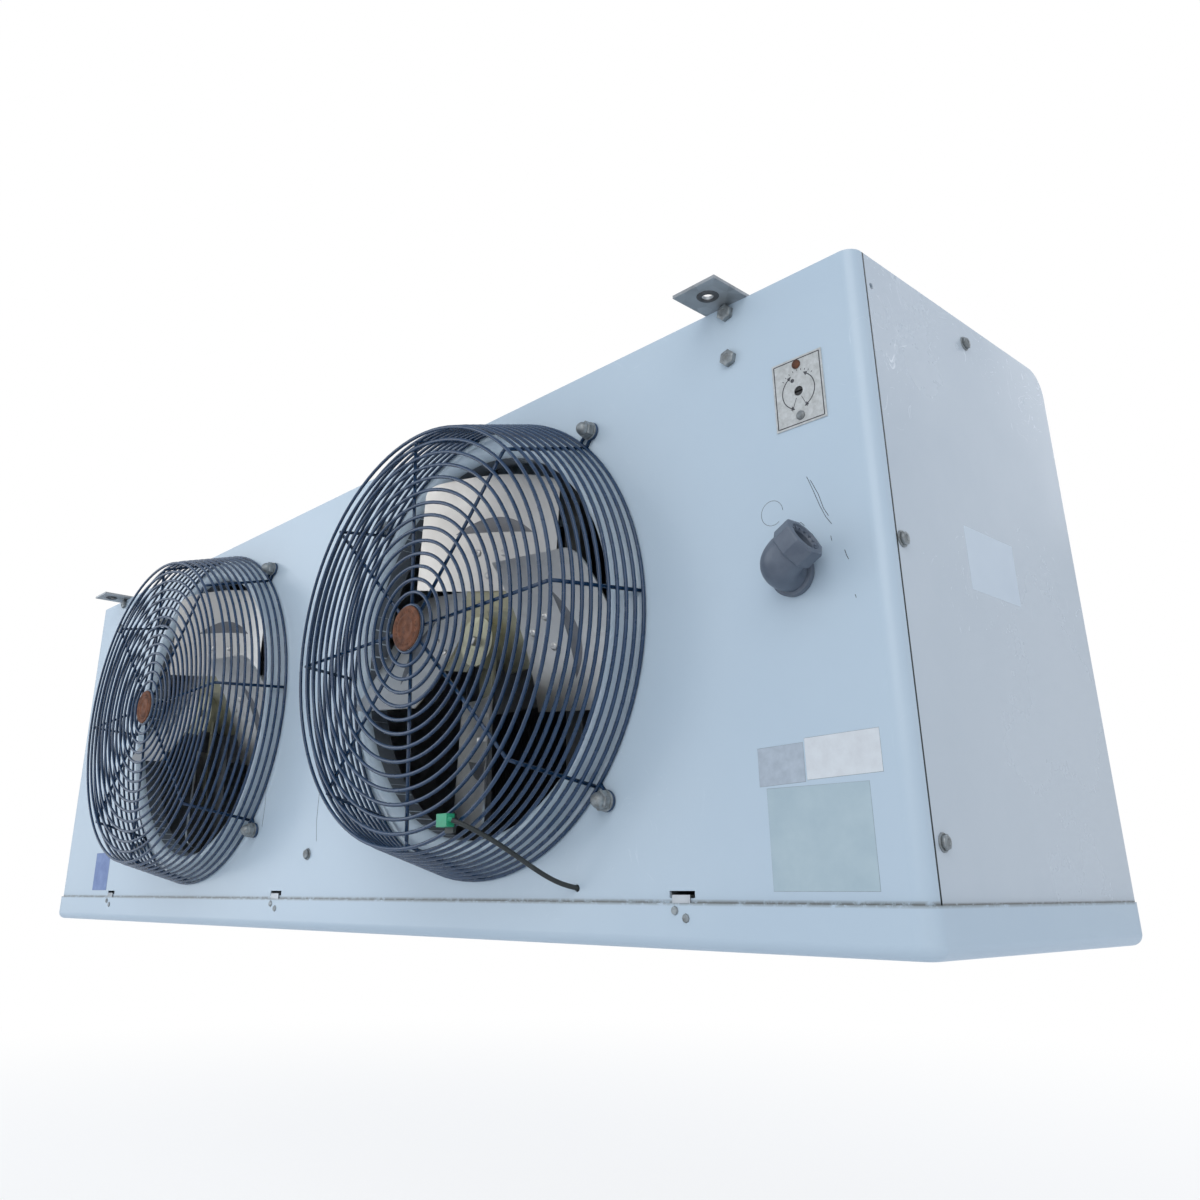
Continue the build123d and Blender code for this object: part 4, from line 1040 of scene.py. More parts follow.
# ---------------------------------------------------------------- wire guards
@dataclass
class WireGuard:
    """One fan guard: round wire rings on spokes that bend down its side, and the studs' eyes."""

    number: int
    paints: Paintbox
    cabinet: Cabinet
    wire: float = 3.0 * MM
    rings: int = 15
    side_rings: int = 10
    spokes: int = 8
    turn: float = 2.0
    segments: int = 96
    base_in: float = 12.9 * MM
    centre: Vector = field(init=False)
    studs: list[Vector] = field(init=False)

    def __post_init__(self) -> None:
        """Takes the guard's place and size from the frame."""
        low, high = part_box(f"guard_grille_{self.number}")
        self.centre = (low + high) / 2
        self.front = low.y + self.wire / 2
        self.radius = (high.x - low.x) / 2 - self.wire / 2
        self.face = self.cabinet.face
        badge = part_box("guard_badges")
        self.badge_radius = (badge[1].z - badge[0].z) / 2
        spots = [middle(points) for points in self.cabinet.solids("guard_nuts")]
        mine = sorted(spots, key=lambda spot: abs(spot.x - self.centre.x))[:4]
        self.studs = [Vector((spot.x, self.face, spot.z)) for spot in mine]
        away = self.studs[0] - Vector((self.centre.x, self.face, self.centre.z))
        self.base_radius = away.length - self.base_in
        self.pitch = (self.radius - self.badge_radius) / (self.rings - 0.93)

    def at(self, radius: float, degrees: float, y: float) -> Vector:
        """Finds a point about the guard's axis.

        Args:
            radius: Distance from the axis.
            degrees: Angle from +X towards +Z.
            y: Its place along the axis.

        Returns:
            The point.
        """
        angle = math.radians(degrees)
        return Vector(
            (
                self.centre.x + radius * math.cos(angle),
                y,
                self.centre.z + radius * math.sin(angle),
            )
        )

    def circle(self, radius: float, y: float, count: int | None = None) -> list[Vector]:
        """Returns points round a ring of the guard."""
        count = count or self.segments
        return [self.at(radius, 360 * k / count, y) for k in range(count)]

    def build(self) -> None:
        """Makes the rings, the spokes bent down the side, and the eyes for the studs."""
        spoke_y = self.front + self.wire * 0.9
        bar_top, bar_base = self.radius - self.wire / 2, self.base_radius - self.wire
        end_y = self.face - 1.8 * MM
        face_wires = bmesh.new()
        for k in range(self.rings):
            ring = self.circle(self.radius - self.pitch * k, self.front)
            add_tube(face_wires, ring, self.wire / 2, closed=True)
        for k in range(self.spokes):
            angle = self.turn + 360 / self.spokes * k
            inner = self.at(self.badge_radius - 2 * MM, angle, spoke_y)
            outer = self.at(bar_top - 4 * MM, angle, spoke_y)
            add_tube(face_wires, [inner, outer], self.wire / 2)
        piece = mesh_object(
            f"guard_face_wires_{self.number}", face_wires, self.paints[Slot.WIRE]
        )
        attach(piece, "cabinet")
        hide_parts(f"guard_grille_{self.number}")
        side_wires = bmesh.new()
        for k in range(1, self.side_rings + 1):
            share = k / self.side_rings
            y = spoke_y + (end_y - spoke_y) * share
            radius = bar_top + (bar_base - bar_top) * share + self.wire * 0.9
            add_tube(side_wires, self.circle(radius, y), self.wire / 2, closed=True)
        for k in range(self.spokes):
            angle = self.turn + 360 / self.spokes * k
            bend = [
                self.at(bar_top - 4 * MM, angle, spoke_y),
                self.at(bar_top - 1.2 * MM, angle, spoke_y + 0.6 * MM),
                self.at(bar_top, angle, spoke_y + 3.4 * MM),
                self.at(bar_base, angle, end_y),
            ]
            add_tube(side_wires, bend, self.wire / 2)
        for stud in self.studs:
            self.eye(side_wires, stud)
        piece = mesh_object(
            f"guard_side_wires_{self.number}", side_wires, self.paints[Slot.WIRE]
        )
        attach(piece, "cabinet")
        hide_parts(f"guard_skirt_{self.number}")

    def eye(self, bm: bmesh.types.BMesh, stud: Vector) -> None:
        """Adds the wire loop round one stud, welded to the base ring.

        Args:
            bm: Where it goes.
            stud: Where the stud leaves the panel.
        """
        loop = 6.3 * MM
        y = self.face - self.wire / 2
        towards = Vector((self.centre.x - stud.x, 0, self.centre.z - stud.z)).normalized()
        side = Vector((-towards.z, 0, towards.x))
        foot = Vector((stud.x, y, stud.z))
        start = math.radians(35)
        points = [foot + towards * 14 * MM + side * 4.5 * MM]
        for k in range(21):
            angle = start + (math.tau - 2 * start) * k / 20
            points.append(foot + loop * (math.cos(angle) * towards + math.sin(angle) * side))
        points.append(foot + towards * 14 * MM - side * 4.5 * MM)
        add_tube(bm, points, self.wire / 2)


@dataclass
class GuardHardware:
    """What holds and dresses both guards: pressed discs and domed cap nuts."""

    paints: Paintbox
    cabinet: Cabinet
    wire: float = 3.0 * MM
    beads: int = 28
    out: Vector = field(default_factory=lambda: Vector((0.0, -1.0, 0.0)))

    def build(self) -> None:
        """Makes the discs and the nuts."""
        self.discs()
        self.nuts()

    def discs(self) -> None:
        """Makes the pressed disc over the middle of each guard, with a plain beaded rim."""
        low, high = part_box("guard_badges")
        reach, deep = (high.z - low.z) / 2, high.y - low.y
        profile = [
            Ring(reach - 0.4 * MM, 0.0),
            Ring(reach, 0.35 * deep),
            Ring(reach - 0.8 * MM, 0.8 * deep),
            Ring(reach - 2.0 * MM, 0.95 * deep),
            Ring(reach - 3.4 * MM, 0.62 * deep),
            Ring(0.62 * reach, 0.62 * deep),
            Ring(0.58 * reach, 0.95 * deep),
            Ring(0.52 * reach, 0.95 * deep),
            Ring(0.47 * reach, 0.55 * deep),
            Ring(0.2 * reach, 0.5 * deep),
            Ring(0.12 * reach, 0.85 * deep),
            Ring(0.0, 0.9 * deep),
        ]
        bead = [Ring(0.8 * MM, 0.0), Ring(0.65 * MM, 0.4 * MM), Ring(0.0, 0.6 * MM)]
        bm = bmesh.new()
        for points in self.cabinet.solids("guard_badges"):
            foot = middle(points)
            foot.y = high.y
            add_turned(bm, profile, foot, self.out, sides=64)
            for k in range(self.beads):
                angle = math.tau * k / self.beads
                spot = foot + self.out * 0.6 * deep
                spot += 0.74 * reach * Vector((math.cos(angle), 0.0, math.sin(angle)))
                add_turned(bm, bead, spot, self.out, sides=8)
        piece = mesh_object("guard_discs", bm, self.paints[Slot.RUST])
        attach(piece, "cabinet")
        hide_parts("guard_badges")

    def nuts(self) -> None:
        """Makes the domed cap nuts with their washers."""
        half = 6.2 * MM
        body = [
            Ring(half - 0.5 * MM, 1.0 * MM, 6),
            Ring(half, 1.6 * MM, 6),
            Ring(half, 6.2 * MM, 6),
            Ring(half - 0.6 * MM, 7.0 * MM, 6),
            Ring(5.6 * MM, 7.0 * MM),
        ]
        steps = [math.pi / 2 * k / 7 for k in range(8)]
        dome = [
            Ring(5.6 * MM * math.cos(t), 7.0 * MM + 6.2 * MM * math.sin(t)) for t in steps[:-1]
        ]
        dome.append(Ring(0.0, 13.2 * MM))
        washer = [Ring(7.4 * MM, 0.0), Ring(7.4 * MM, 0.9 * MM), Ring(7.0 * MM, 1.1 * MM)]
        bm = bmesh.new()
        for points in self.cabinet.solids("guard_nuts"):
            foot = middle(points)
            foot.y = self.cabinet.face - self.wire
            add_turned(bm, washer, foot, self.out)
            add_turned(bm, body, foot, self.out, sides=36)
            add_turned(bm, dome, foot, self.out)
        piece = mesh_object("guard_cap_nuts", bm, self.paints[Slot.SCREW])
        sharpen(piece)
        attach(piece, "cabinet")
        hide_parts("guard_nuts")


# ---------------------------------------------------------------- front panel
@dataclass
class SmoothCollars:
    """Rolled lips of the two fan orifices, laid over the panel's collars, their throats darkened as
    painted shade.
    """

    paints: Paintbox
    throat: float = 161.0 * MM
    roll: float = 8.0 * MM
    crest: float = 12.0 * MM
    deep: float = 14.0 * MM
    skin: float = 0.12 * MM
    steps: int = 14

    def profile(self) -> list[Ring]:
        """Returns the lip's section, from the panel over the crest into the throat."""
        middle_r, middle_h = self.throat + self.roll, self.crest - self.roll
        round_r = self.roll + self.skin
        turns = [math.radians(45 + 135 * k / self.steps) for k in range(self.steps + 1)]
        rings = [Ring(middle_r + round_r * math.sqrt(2) + middle_h, 0.0)]
        rings += [
            Ring(middle_r + round_r * math.cos(t), middle_h + round_r * math.sin(t)) for t in turns
        ]
        rings.append(Ring(self.throat - self.skin, -self.deep))
        return rings

    def build(self) -> None:
        """Makes both lips."""
        for number in (1, 2):
            low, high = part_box(f"guard_skirt_{number}")
            foot = Vector(((low.x + high.x) / 2, high.y, (low.z + high.z) / 2))
            bm = bmesh.new()
            add_turned(bm, self.profile(), foot, Vector((0, -1, 0)), sides=160, open_ended=True)
            piece = mesh_object(f"orifice_lip_{number}", bm, self.paints[Slot.PAINT])
            # Faces inside the throat take the darker paint, painted shade.
            piece.data.materials.append(self.paints.throat_shade)
            for face in piece.data.polygons:
                if face.center.y > high.y:
                    face.material_index = 1
            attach(piece, "cabinet")


@dataclass(frozen=True)
class Label:
    """A bare label on the front: its name, its box in x and z above the pan, and its tilt."""

    name: str
    low: tuple[float, float]
    high: tuple[float, float]
    finish: Finish
    tilt: float = 0.0


LABELS = (
    Label(
        "faded_rating_plate", (563.0, 7.0), (634.0, 66.0),
        Finish(
            "Faded plate", (0.37, 0.47, 0.52), (0.42, 0.52, 0.56), 0.3, 0.12, mottle_scale=45.0
        ),
    ),
    Label(
        "paper_label", (592.8, 70.5), (643.5, 95.0),
        Finish("Old paper", (0.66, 0.69, 0.71), (0.60, 0.62, 0.64), 0.55, 0.2, mottle_scale=120.0),
        -1.2,
    ),
    Label(
        "worn_label", (558.0, 68.5), (591.6, 91.5),
        Finish("Worn paper", (0.36, 0.41, 0.47), (0.44, 0.50, 0.56), 0.5, 0.2, mottle_scale=190.0),
        -1.0,
    ),
    Label(
        "blue_label", (-530.0, 8.0), (-482.0, 54.0),
        Finish("Blue label", (0.09, 0.16, 0.38), (0.20, 0.28, 0.50), 0.4, 0.15, mottle_scale=70.0),
    ),
)


@dataclass
class FrontMarks:
    """Bare labels, scratches and the ring of a spare knockout on the front panel."""

    paints: Paintbox
    cabinet: Cabinet
    label_thick: float = 0.12 * MM
    label_rim: float = 1.4 * MM
    stroke: float = 0.2 * MM
    knockout: tuple[float, float, float] = (582.7, 240.7, 8.5)
    strokes: tuple[tuple[tuple[float, float], ...], ...] = (
        ((611.5, 258.1), (615.1, 248.1), (619.1, 236.2), (622.6, 227.8), (626.3, 222.2)),
        ((614.0, 255.0), (618.8, 244.0), (621.5, 234.0), (624.6, 228.0)),
        ((624.8, 214.7), (625.2, 211.4)),
        ((633.5, 203.5), (634.3, 200.0), (635.6, 197.0)),
        ((637.4, 174.5), (637.9, 172.4)),
        ((601.0, 227.0), (604.0, 229.0), (606.5, 226.0)),
        ((-77.0, 120.0), (-76.0, 92.0), (-78.5, 70.0)),
        ((32.0, 96.0), (30.5, 70.0), (33.0, 52.0)),
    )

    def build(self) -> None:
        """Makes the labels and the marks."""
        for label in LABELS:
            self.label(label)
        bm = bmesh.new()
        for line in self.strokes:
            add_tube(bm, [self.cabinet.on_face(x, z) for x, z in line], self.stroke, sides=6)
        x, z, radius = self.knockout
        turns = [math.tau * k / 40 for k in range(35)]
        ring = [
            self.cabinet.on_face(x + radius * math.cos(t), z + radius * math.sin(t)) for t in turns
        ]
        add_tube(bm, ring, 0.7 * self.stroke, sides=6)
        piece = mesh_object("front_scratches", bm, self.paints.ink)
        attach(piece, "cabinet")

    def label(self, label: Label) -> None:
        """Makes one bare label with a slightly raised border.

        Args:
            label: The label's place and finish.
        """
        corners = (
            (label.low[0], label.low[1] + label.tilt),
            (label.high[0], label.low[1]),
            (label.high[0], label.high[1]),
            (label.low[0], label.high[1] + label.tilt),
        )
        spots = [self.cabinet.on_face(x, z) for x, z in corners]
        bm = bmesh.new()
        outline = [(spot.x, spot.z) for spot in spots]
        add_plate(bm, outline, self.cabinet.face, self.label_thick)
        front = min(bm.faces, key=lambda face: face.calc_center_median().y)
        bmesh.ops.inset_individual(bm, faces=[front], thickness=self.label_rim, depth=0.0)
        bmesh.ops.translate(bm, verts=front.verts, vec=(0.0, 0.04 * MM, 0.0))
        piece = mesh_object(label.name, bm, label.finish.build())
        sharpen(piece, 5.0)
        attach(piece, "cabinet")
        rim = [Vector((spot.x, self.cabinet.face, spot.z)) for spot in spots]
        bm = bmesh.new()
        add_tube(bm, rim, 0.16 * MM, sides=6, closed=True)
        piece = mesh_object(f"{label.name}_rim", bm, self.paints.faded)
        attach(piece, "cabinet")


@dataclass
class DialFace:
    """Print of the defrost dial: a border, two sweeping arrows and pointer lines, no words."""

    paints: Paintbox
    cabinet: Cabinet
    arc: float = 12.6
    line: float = 0.34
    border: float = 1.6

    def build(self) -> None:
        """Makes the print, standing a hair off the plate."""
        low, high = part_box("dial_plate")
        centre = middle_of("defrost_spindle")
        self.front = low.y
        bm = bmesh.new()
        edge = self.border * MM
        frame = [
            Vector((low.x + edge, self.front, low.z + edge)),
            Vector((high.x - edge, self.front, low.z + edge)),
            Vector((high.x - edge, self.front, high.z - edge)),
            Vector((low.x + edge, self.front, high.z - edge)),
        ]
        for k, corner in enumerate(frame):
            add_tube(bm, [corner, frame[(k + 1) % 4]], self.line * MM, sides=6)
        for side in (-1, 1):
            turns = [math.radians(90 - side * (35 + 115 * k / 16)) for k in range(17)]
            points = [self.spot(centre, self.arc, t) for t in turns]
            add_tube(bm, points, self.line * MM, sides=6)
            self.arrow(bm, points[1], points[0], centre)
            self.arrow(bm, points[-2], points[-1], centre)
            pointer = math.radians(-90 + side * 24)
            add_tube(
                bm, [self.spot(centre, 5.0, pointer), self.spot(centre, 14.5, pointer)],
                0.6 * self.line * MM, sides=6,
            )
        for k in range(9):
            tick = math.radians(90 - 48 + 12 * k)
            ends = [self.spot(centre, 14.6, tick), self.spot(centre, 15.8, tick)]
            add_tube(bm, ends, 0.7 * self.line * MM, sides=6)
        hole = self.spot(centre, 9.6, math.radians(115))
        add_turned(
            bm, [Ring(1.4 * MM, -0.1 * MM), Ring(1.4 * MM, 0.12 * MM)], hole, Vector((0, -1, 0)),
            sides=20,
        )
        piece = mesh_object("dial_print", bm, self.paints.ink)
        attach(piece, "cabinet")

    def spot(self, centre: Vector, radius: float, angle: float) -> Vector:
        """Finds a point on the plate.

        Args:
            centre: Middle of the dial.
            radius: Distance from it, in millimetres.
            angle: Angle from +X towards +Z, in radians.

        Returns:
            The point.
        """
        return Vector(
            (
                centre.x + radius * MM * math.cos(angle),
                self.front,
                centre.z + radius * MM * math.sin(angle),
            )
        )

    def arrow(self, bm: bmesh.types.BMesh, tail: Vector, tip: Vector, centre: Vector) -> None:
        """Adds an arrowhead at the end of an arc.

        Args:
            bm: Where it goes.
            tail: A point just before the end.
            tip: The end of the arc.
            centre: Middle of the dial.
        """
        along = (tip - tail).normalized()
        out = Vector((tip.x - centre.x, 0.0, tip.z - centre.z)).normalized()
        corners = [tip + along * 3.0 * MM, tip + out * 1.5 * MM, tip - out * 1.5 * MM]
        add_plate(bm, [(corner.x, corner.z) for corner in corners], self.front, 0.1 * MM)


@dataclass
class EndTrim:
    """Black strips over the seam gaps behind the front corners, standing in for the seams' shadow
    (painted shadow), and the ghost of a label on the right end.
    """

    paints: Paintbox
    cabinet: Cabinet
    seam: float = 11.7 * MM
    gap: float = 1.7 * MM
    proud: float = 0.06 * MM
    deep: float = 1.0 * MM
    ghost: tuple[float, float, float, float] = (102.7, 192.0, 172.0, 236.0)

    def build(self) -> None:
        """Makes the strips and the ghost."""
        low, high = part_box("front_panel")
        for side, x in (("left", low.x), ("right", high.x)):
            inward = 1.0 if side == "left" else -1.0
            outer, inner = x - inward * self.proud, x + inward * self.deep
            bm = bmesh.new()
            add_block(
                bm,
                Vector((min(outer, inner), self.cabinet.face + self.seam, self.cabinet.edge)),
                Vector((max(outer, inner), self.cabinet.face + self.seam + self.gap, high.z)),
                0.05 * MM,
            )
            # Black strip as painted shadow of the seam gap.
            piece = mesh_object(f"seam_shadow_strip_{side}", bm, self.paints[Slot.SHEATH])
            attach(piece, "cabinet")
        y0, z0, y1, z1 = (v * MM for v in self.ghost)
        bm = bmesh.new()
        add_block(
            bm,
            Vector((high.x - 0.05 * MM, self.cabinet.face + y0, self.cabinet.edge + z0)),
            Vector((high.x + 0.04 * MM, self.cabinet.face + y1, self.cabinet.edge + z1)),
            0.02 * MM,
        )
        piece = mesh_object("label_ghost", bm, self.paints.ghost)
        sharpen(piece)
        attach(piece, "cabinet")


# ---------------------------------------------------------------- fasteners
@dataclass
class HexHeads:
    """Hexagon heads with bevelled tops, on the screws of one node."""

    node: str
    paints: Paintbox
    cabinet: Cabinet
    across: float
    washer: float = 0.0
    washer_thick: float = 1.0 * MM

    def build(self) -> None:
        """Makes the heads, their washers and the shanks behind them."""
        half = self.across / 2
        high = 0.41 * self.across
        foot_h = self.washer_thick if self.washer else 0.0
        head = [
            Ring(half - 0.2 * MM, foot_h, 6),
            Ring(half, foot_h + 0.3 * MM, 6),
            Ring(half, high - 0.7 * MM, 6),
            Ring(half - 0.3 * MM, high - 0.2 * MM),
            Ring(half - 1.2 * MM, high),
            Ring(0.55 * half, high),
            Ring(0.5 * half, high - 0.35 * MM),
            Ring(0.0, high - 0.4 * MM),
        ]
        bm = bmesh.new()
        for points in self.cabinet.solids(self.node):
            seat, out = self.cabinet.seat(points)
            add_turned(bm, head, seat, out, sides=36)
            if self.washer:
                ring = [
                    Ring(self.washer, 0.0),
                    Ring(self.washer, 0.6 * self.washer_thick),
                    Ring(self.washer - 0.5 * MM, self.washer_thick),
                ]
                add_turned(bm, ring, seat, out)
            behind = min((point - seat).dot(out) for point in points)
            add_tube(bm, [seat, seat + out * behind], 0.26 * self.across, sides=12)
        piece = mesh_object(f"{self.node}_heads", bm, self.paints[Slot.SCREW])
        sharpen(piece)
        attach(piece, "cabinet")
        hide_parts(self.node)


@dataclass
class DialScrews:
    """Two slotted round heads on the dial plate, the upper one rusty."""

    paints: Paintbox
    cabinet: Cabinet

    def build(self) -> None:
        """Makes the heads."""
        solids = self.cabinet.solids("dial_screws")
        solids.sort(key=lambda points: -middle(points).z)
        for name, points, slot in zip(("upper", "lower"), solids, (Slot.RUST, Slot.SCREW)):
            foot = middle(points)
            top = min(point.y for point in points)
            foot.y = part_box("dial_plate")[0].y
            high = foot.y - top
            profile = [
                Ring(3.3 * MM, 0.0),
                Ring(3.2 * MM, 0.35 * high),
                Ring(2.6 * MM, 0.75 * high),
                Ring(1.4 * MM, 0.97 * high),
                Ring(0.0, high),
            ]
            bm = bmesh.new()
            add_turned(bm, profile, foot, Vector((0, -1, 0)))
            piece = mesh_object(f"dial_screw_{name}", bm, self.paints[slot])
            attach(piece, "cabinet")
            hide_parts("dial_screws")


@dataclass
class HangerLips:
    """Pressed lips round the holes of the front hangers, on their undersides, in zinc darkened as
    painted shade round the holes.
    """

    paints: Paintbox
    hole: float = 4.3 * MM
    under: float = -2.5 * MM
    from_tip: float = 16.2 * MM

    def build(self, cabinet: Cabinet) -> None:
        """Makes both lips.

        Args:
            cabinet: Where the hangers' solids are read.
        """
        profile = [
            Ring(self.hole + 3.8 * MM, 0.0),
            Ring(self.hole + 2.9 * MM, 0.9 * MM),
            Ring(self.hole + 1.6 * MM, 1.4 * MM),
            Ring(self.hole + 0.5 * MM, 1.3 * MM),
            Ring(self.hole + 0.05 * MM, 0.8 * MM),
            Ring(self.hole + 0.05 * MM, 0.0),
        ]
        bm = bmesh.new()
        for points in cabinet.solids("front_hangers"):
            tip = min(point.y for point in points)
            centre = Vector((middle(points).x, tip + self.from_tip, self.under))
            add_turned(bm, profile, centre, Vector((0, 0, -1)), sides=48, open_ended=True)
        piece = mesh_object("hanger_lips", bm, self.paints.shaded)
        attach(piece, "cabinet")


# ---------------------------------------------------------------- fans
@dataclass
class BladeTrim:
    """Domed rivets and pressed crescents on one fan's blades; the crescents are darkened as painted
    shade.
    """

    number: int
    paints: Paintbox
    cabinet: Cabinet
    blades: int = 4
    rest_turn: float = -5.0
    crescent_at: float = 97.0 * MM
    half_width: float = 33.0 * MM
    relief: float = 0.9 * MM
    half_rows: int = 9
    columns: int = 6
    cast_from: float = 0.2

    def build(self) -> None:
        """Makes the rivets and the crescents."""
        self.rivets()
        self.crescents()

    def rivets(self) -> None:
        """Makes a round head in place of each of the node's solids."""
        bm = bmesh.new()
        for points in self.cabinet.solids(f"blade_rivets_{self.number}"):
            cloud = np.array([tuple(point) for point in points])
            centre = cloud.mean(axis=0)
            _, axes = np.linalg.eigh(np.cov((cloud - centre).T))
            out = Vector(axes[:, 0])
            if out.y > 0:
                out = -out
            heights = [(point - Vector(centre)).dot(out) for point in points]
            foot = Vector(centre) + out * min(heights)
            high = max(heights) - min(heights)
            profile = [
                Ring(3.4 * MM, 0.0),
                Ring(3.3 * MM, 0.3 * high),
                Ring(2.6 * MM, 0.72 * high),
                Ring(1.5 * MM, 0.96 * high),
                Ring(0.9 * MM, high),
                Ring(0.7 * MM, 0.6 * high),
                Ring(0.0, 0.55 * high),
            ]
            add_turned(bm, profile, foot, out, sides=24)
        piece = mesh_object(f"rivet_heads_{self.number}", bm, self.paints[Slot.ALUMINIUM])
        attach(piece, f"fan_{self.number}")
        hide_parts(f"blade_rivets_{self.number}")

    def crescents(self) -> None:
        """Presses a raised crescent into each blade, draped over its curve."""
        node = self.cabinet.frame["nodes"][f"fan_blades_{self.number}"]
        centre = middle_of(f"fan_spider_{self.number}")
        bm = bmesh.new()
        for k in range(self.blades):
            angle = math.radians(self.rest_turn + 360 / self.blades * k)
            along = Vector((math.cos(angle), 0.0, math.sin(angle)))
            across = Vector((-math.sin(angle), 0.0, math.cos(angle)))
            rows = []
            for i in range(-self.half_rows, self.half_rows + 1):
                u = i / self.half_rows
                bow = 1 - u * u
                row = []
                for j in range(self.columns + 1):
                    v = j / self.columns
                    radius = self.crescent_at + (2 + 14 * v) * bow * MM
                    flat = centre + along * radius + across * self.half_width * u
                    start = Vector((flat.x, centre.y - self.cast_from, flat.z))
                    hit, place, normal, _ = node.ray_cast(start, Vector((0.0, 1.0, 0.0)))
                    if not hit:
                        raise ValueError("a crescent lies off its blade")
                    lift = 0.08 * MM + self.relief * bow * math.sin(math.pi * v)
                    row.append(bm.verts.new(place + normal * lift))
                rows.append(row)
            for low, high in zip(rows, rows[1:]):
                for j in range(self.columns):
                    bm.faces.new((low[j], low[j + 1], high[j + 1], high[j]))
        bmesh.ops.recalc_face_normals(bm, faces=bm.faces)
        # The crescents take the darker sheet, painted shade of the relief.
        piece = mesh_object(f"blade_crescents_{self.number}", bm, self.paints.pressed)
        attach(piece, f"fan_{self.number}")


# ---------------------------------------------------------------- conduit elbow
@dataclass
class MouldedElbow:
    """Grey plastic conduit elbow with its eight-sided ribbed nut."""

    paints: Paintbox
    cabinet: Cabinet
    turn: float = 29.0
    radius: float = 13.0 * MM
    bend: float = 14.5 * MM
    leg: float = 14.7 * MM
    nut: float = 14.0 * MM
    bore: float = 8.0 * MM
    foot_radius: float = 15.4 * MM
    foot: float = 5.0 * MM
    thread: float = 12.0 * MM
    thread_radius: float = 10.4 * MM
    ribs: int = 14

    def build(self) -> None:
        """Makes the elbow and the nut."""
        angle = math.radians(self.turn)
        along = Vector((math.cos(angle), 0.0, math.sin(angle)))
        nut_foot = middle_of("elbow_nut") - along * self.nut / 2
        knee = nut_foot - along * self.leg
        foot = Vector((knee.x, self.cabinet.face, knee.z))
        out = Vector((0.0, -1.0, 0.0))
        bm = bmesh.new()
        start, end = knee - out * self.bend, knee + along * self.bend
        curve = [
            start.lerp(knee, t).lerp(knee.lerp(end, t), t) for t in (k / 12 for k in range(13))
        ]
        add_tube(bm, [foot, *curve, nut_foot + along * 0.3 * MM], self.radius, sides=40)
        collar = [
            Ring(self.foot_radius - 0.5 * MM, 0.0),
            Ring(self.foot_radius, 0.6 * MM),
            Ring(self.foot_radius, self.foot - 0.8 * MM),
            Ring(self.foot_radius - 1.0 * MM, self.foot),
            Ring(self.radius - 0.2 * MM, self.foot + 0.2 * MM),
        ]
        add_turned(bm, collar, foot, out, sides=40)
        add_tube(bm, [foot, foot - out * self.thread], self.thread_radius, sides=32)
        piece = mesh_object("elbow_body", bm, self.paints[Slot.PLASTIC])
        sharpen(piece)
        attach(piece, "cabinet")
        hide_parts("conduit_elbow")
        self.gland(nut_foot, along)

    def gland(self, nut_foot: Vector, along: Vector) -> None:
        """Makes the nut with its open mouth and the ribs inside it.

        Args:
            nut_foot: Where the nut meets the elbow.
            along: Direction of its axis.
        """
        flat = self.radius + 1.0 * MM
        profile = [
            Ring(flat - 1.0 * MM, 0.0, 8),
            Ring(flat, 1.0 * MM, 8),
            Ring(flat, self.nut - 1.4 * MM, 8),
            Ring(flat - 0.5 * MM, self.nut - 0.5 * MM, 8),
            Ring(flat - 1.6 * MM, self.nut, 0),
            Ring(10.6 * MM, self.nut),
            Ring(10.0 * MM, self.nut - 1.2 * MM),
            Ring(8.8 * MM, self.nut - 1.6 * MM),
            Ring(self.bore, self.nut - 3.0 * MM),
            Ring(self.bore, 0.5 * MM),
            Ring(0.0, 0.5 * MM),
        ]
        bm = bmesh.new()
        add_turned(bm, profile, nut_foot, along, sides=64)
        side = along.orthogonal().normalized()
        other = along.cross(side)
        for k in range(self.ribs):
            t = math.tau * k / self.ribs
            spot = nut_foot + 9.0 * MM * (math.cos(t) * side + math.sin(t) * other)
            ends = [spot + along * (self.nut - 4.0 * MM), spot + along * (self.nut - 0.9 * MM)]
            add_tube(bm, ends, 0.7 * MM, sides=8)
        piece = mesh_object("elbow_gland", bm, self.paints[Slot.PLASTIC])
        sharpen(piece, 28.0)
        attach(piece, "cabinet")
        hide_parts("elbow_nut")


# ---------------------------------------------------------------- coil
@dataclass
class CoilPack:
    """Finned coil: thin upright fins on tubes, in place of the solid pack."""

    paints: Paintbox
    fin_pitch: float = 4.2 * MM
    fin: float = 0.35 * MM
    tubes_high: int = 10
    rows: int = 2
    tube: float = 6.35 * MM

    def build(self) -> None:
        """Makes the fins and tubes."""
        low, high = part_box("coil_fins")
        fins = bmesh.new()
        count = int((high.x - low.x) / self.fin_pitch)
        for k in range(count + 1):
            x = low.x + (high.x - low.x - self.fin) * k / count
            add_block(fins, Vector((x, low.y, low.z)), Vector((x + self.fin, high.y, high.z)))
        piece = mesh_object("coil_fin_stack", fins, self.paints[Slot.FINS])
        sharpen(piece)
        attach(piece, "cabinet")
        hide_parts("coil_fins")
        tubes = bmesh.new()
        pitch = (high.z - low.z) / self.tubes_high
        spread = (high.y - low.y) / self.rows
        for row in range(self.rows):
            for k in range(self.tubes_high):
                y = low.y + spread * (row + 0.5)
                z = low.z + pitch * (k + 0.5)
                ends = [Vector((low.x, y, z)), Vector((high.x, y, z))]
                add_tube(tubes, ends, self.tube, sides=14)
        piece = mesh_object("coil_tubes", tubes, self.paints[Slot.COPPER])
        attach(piece, "cabinet")


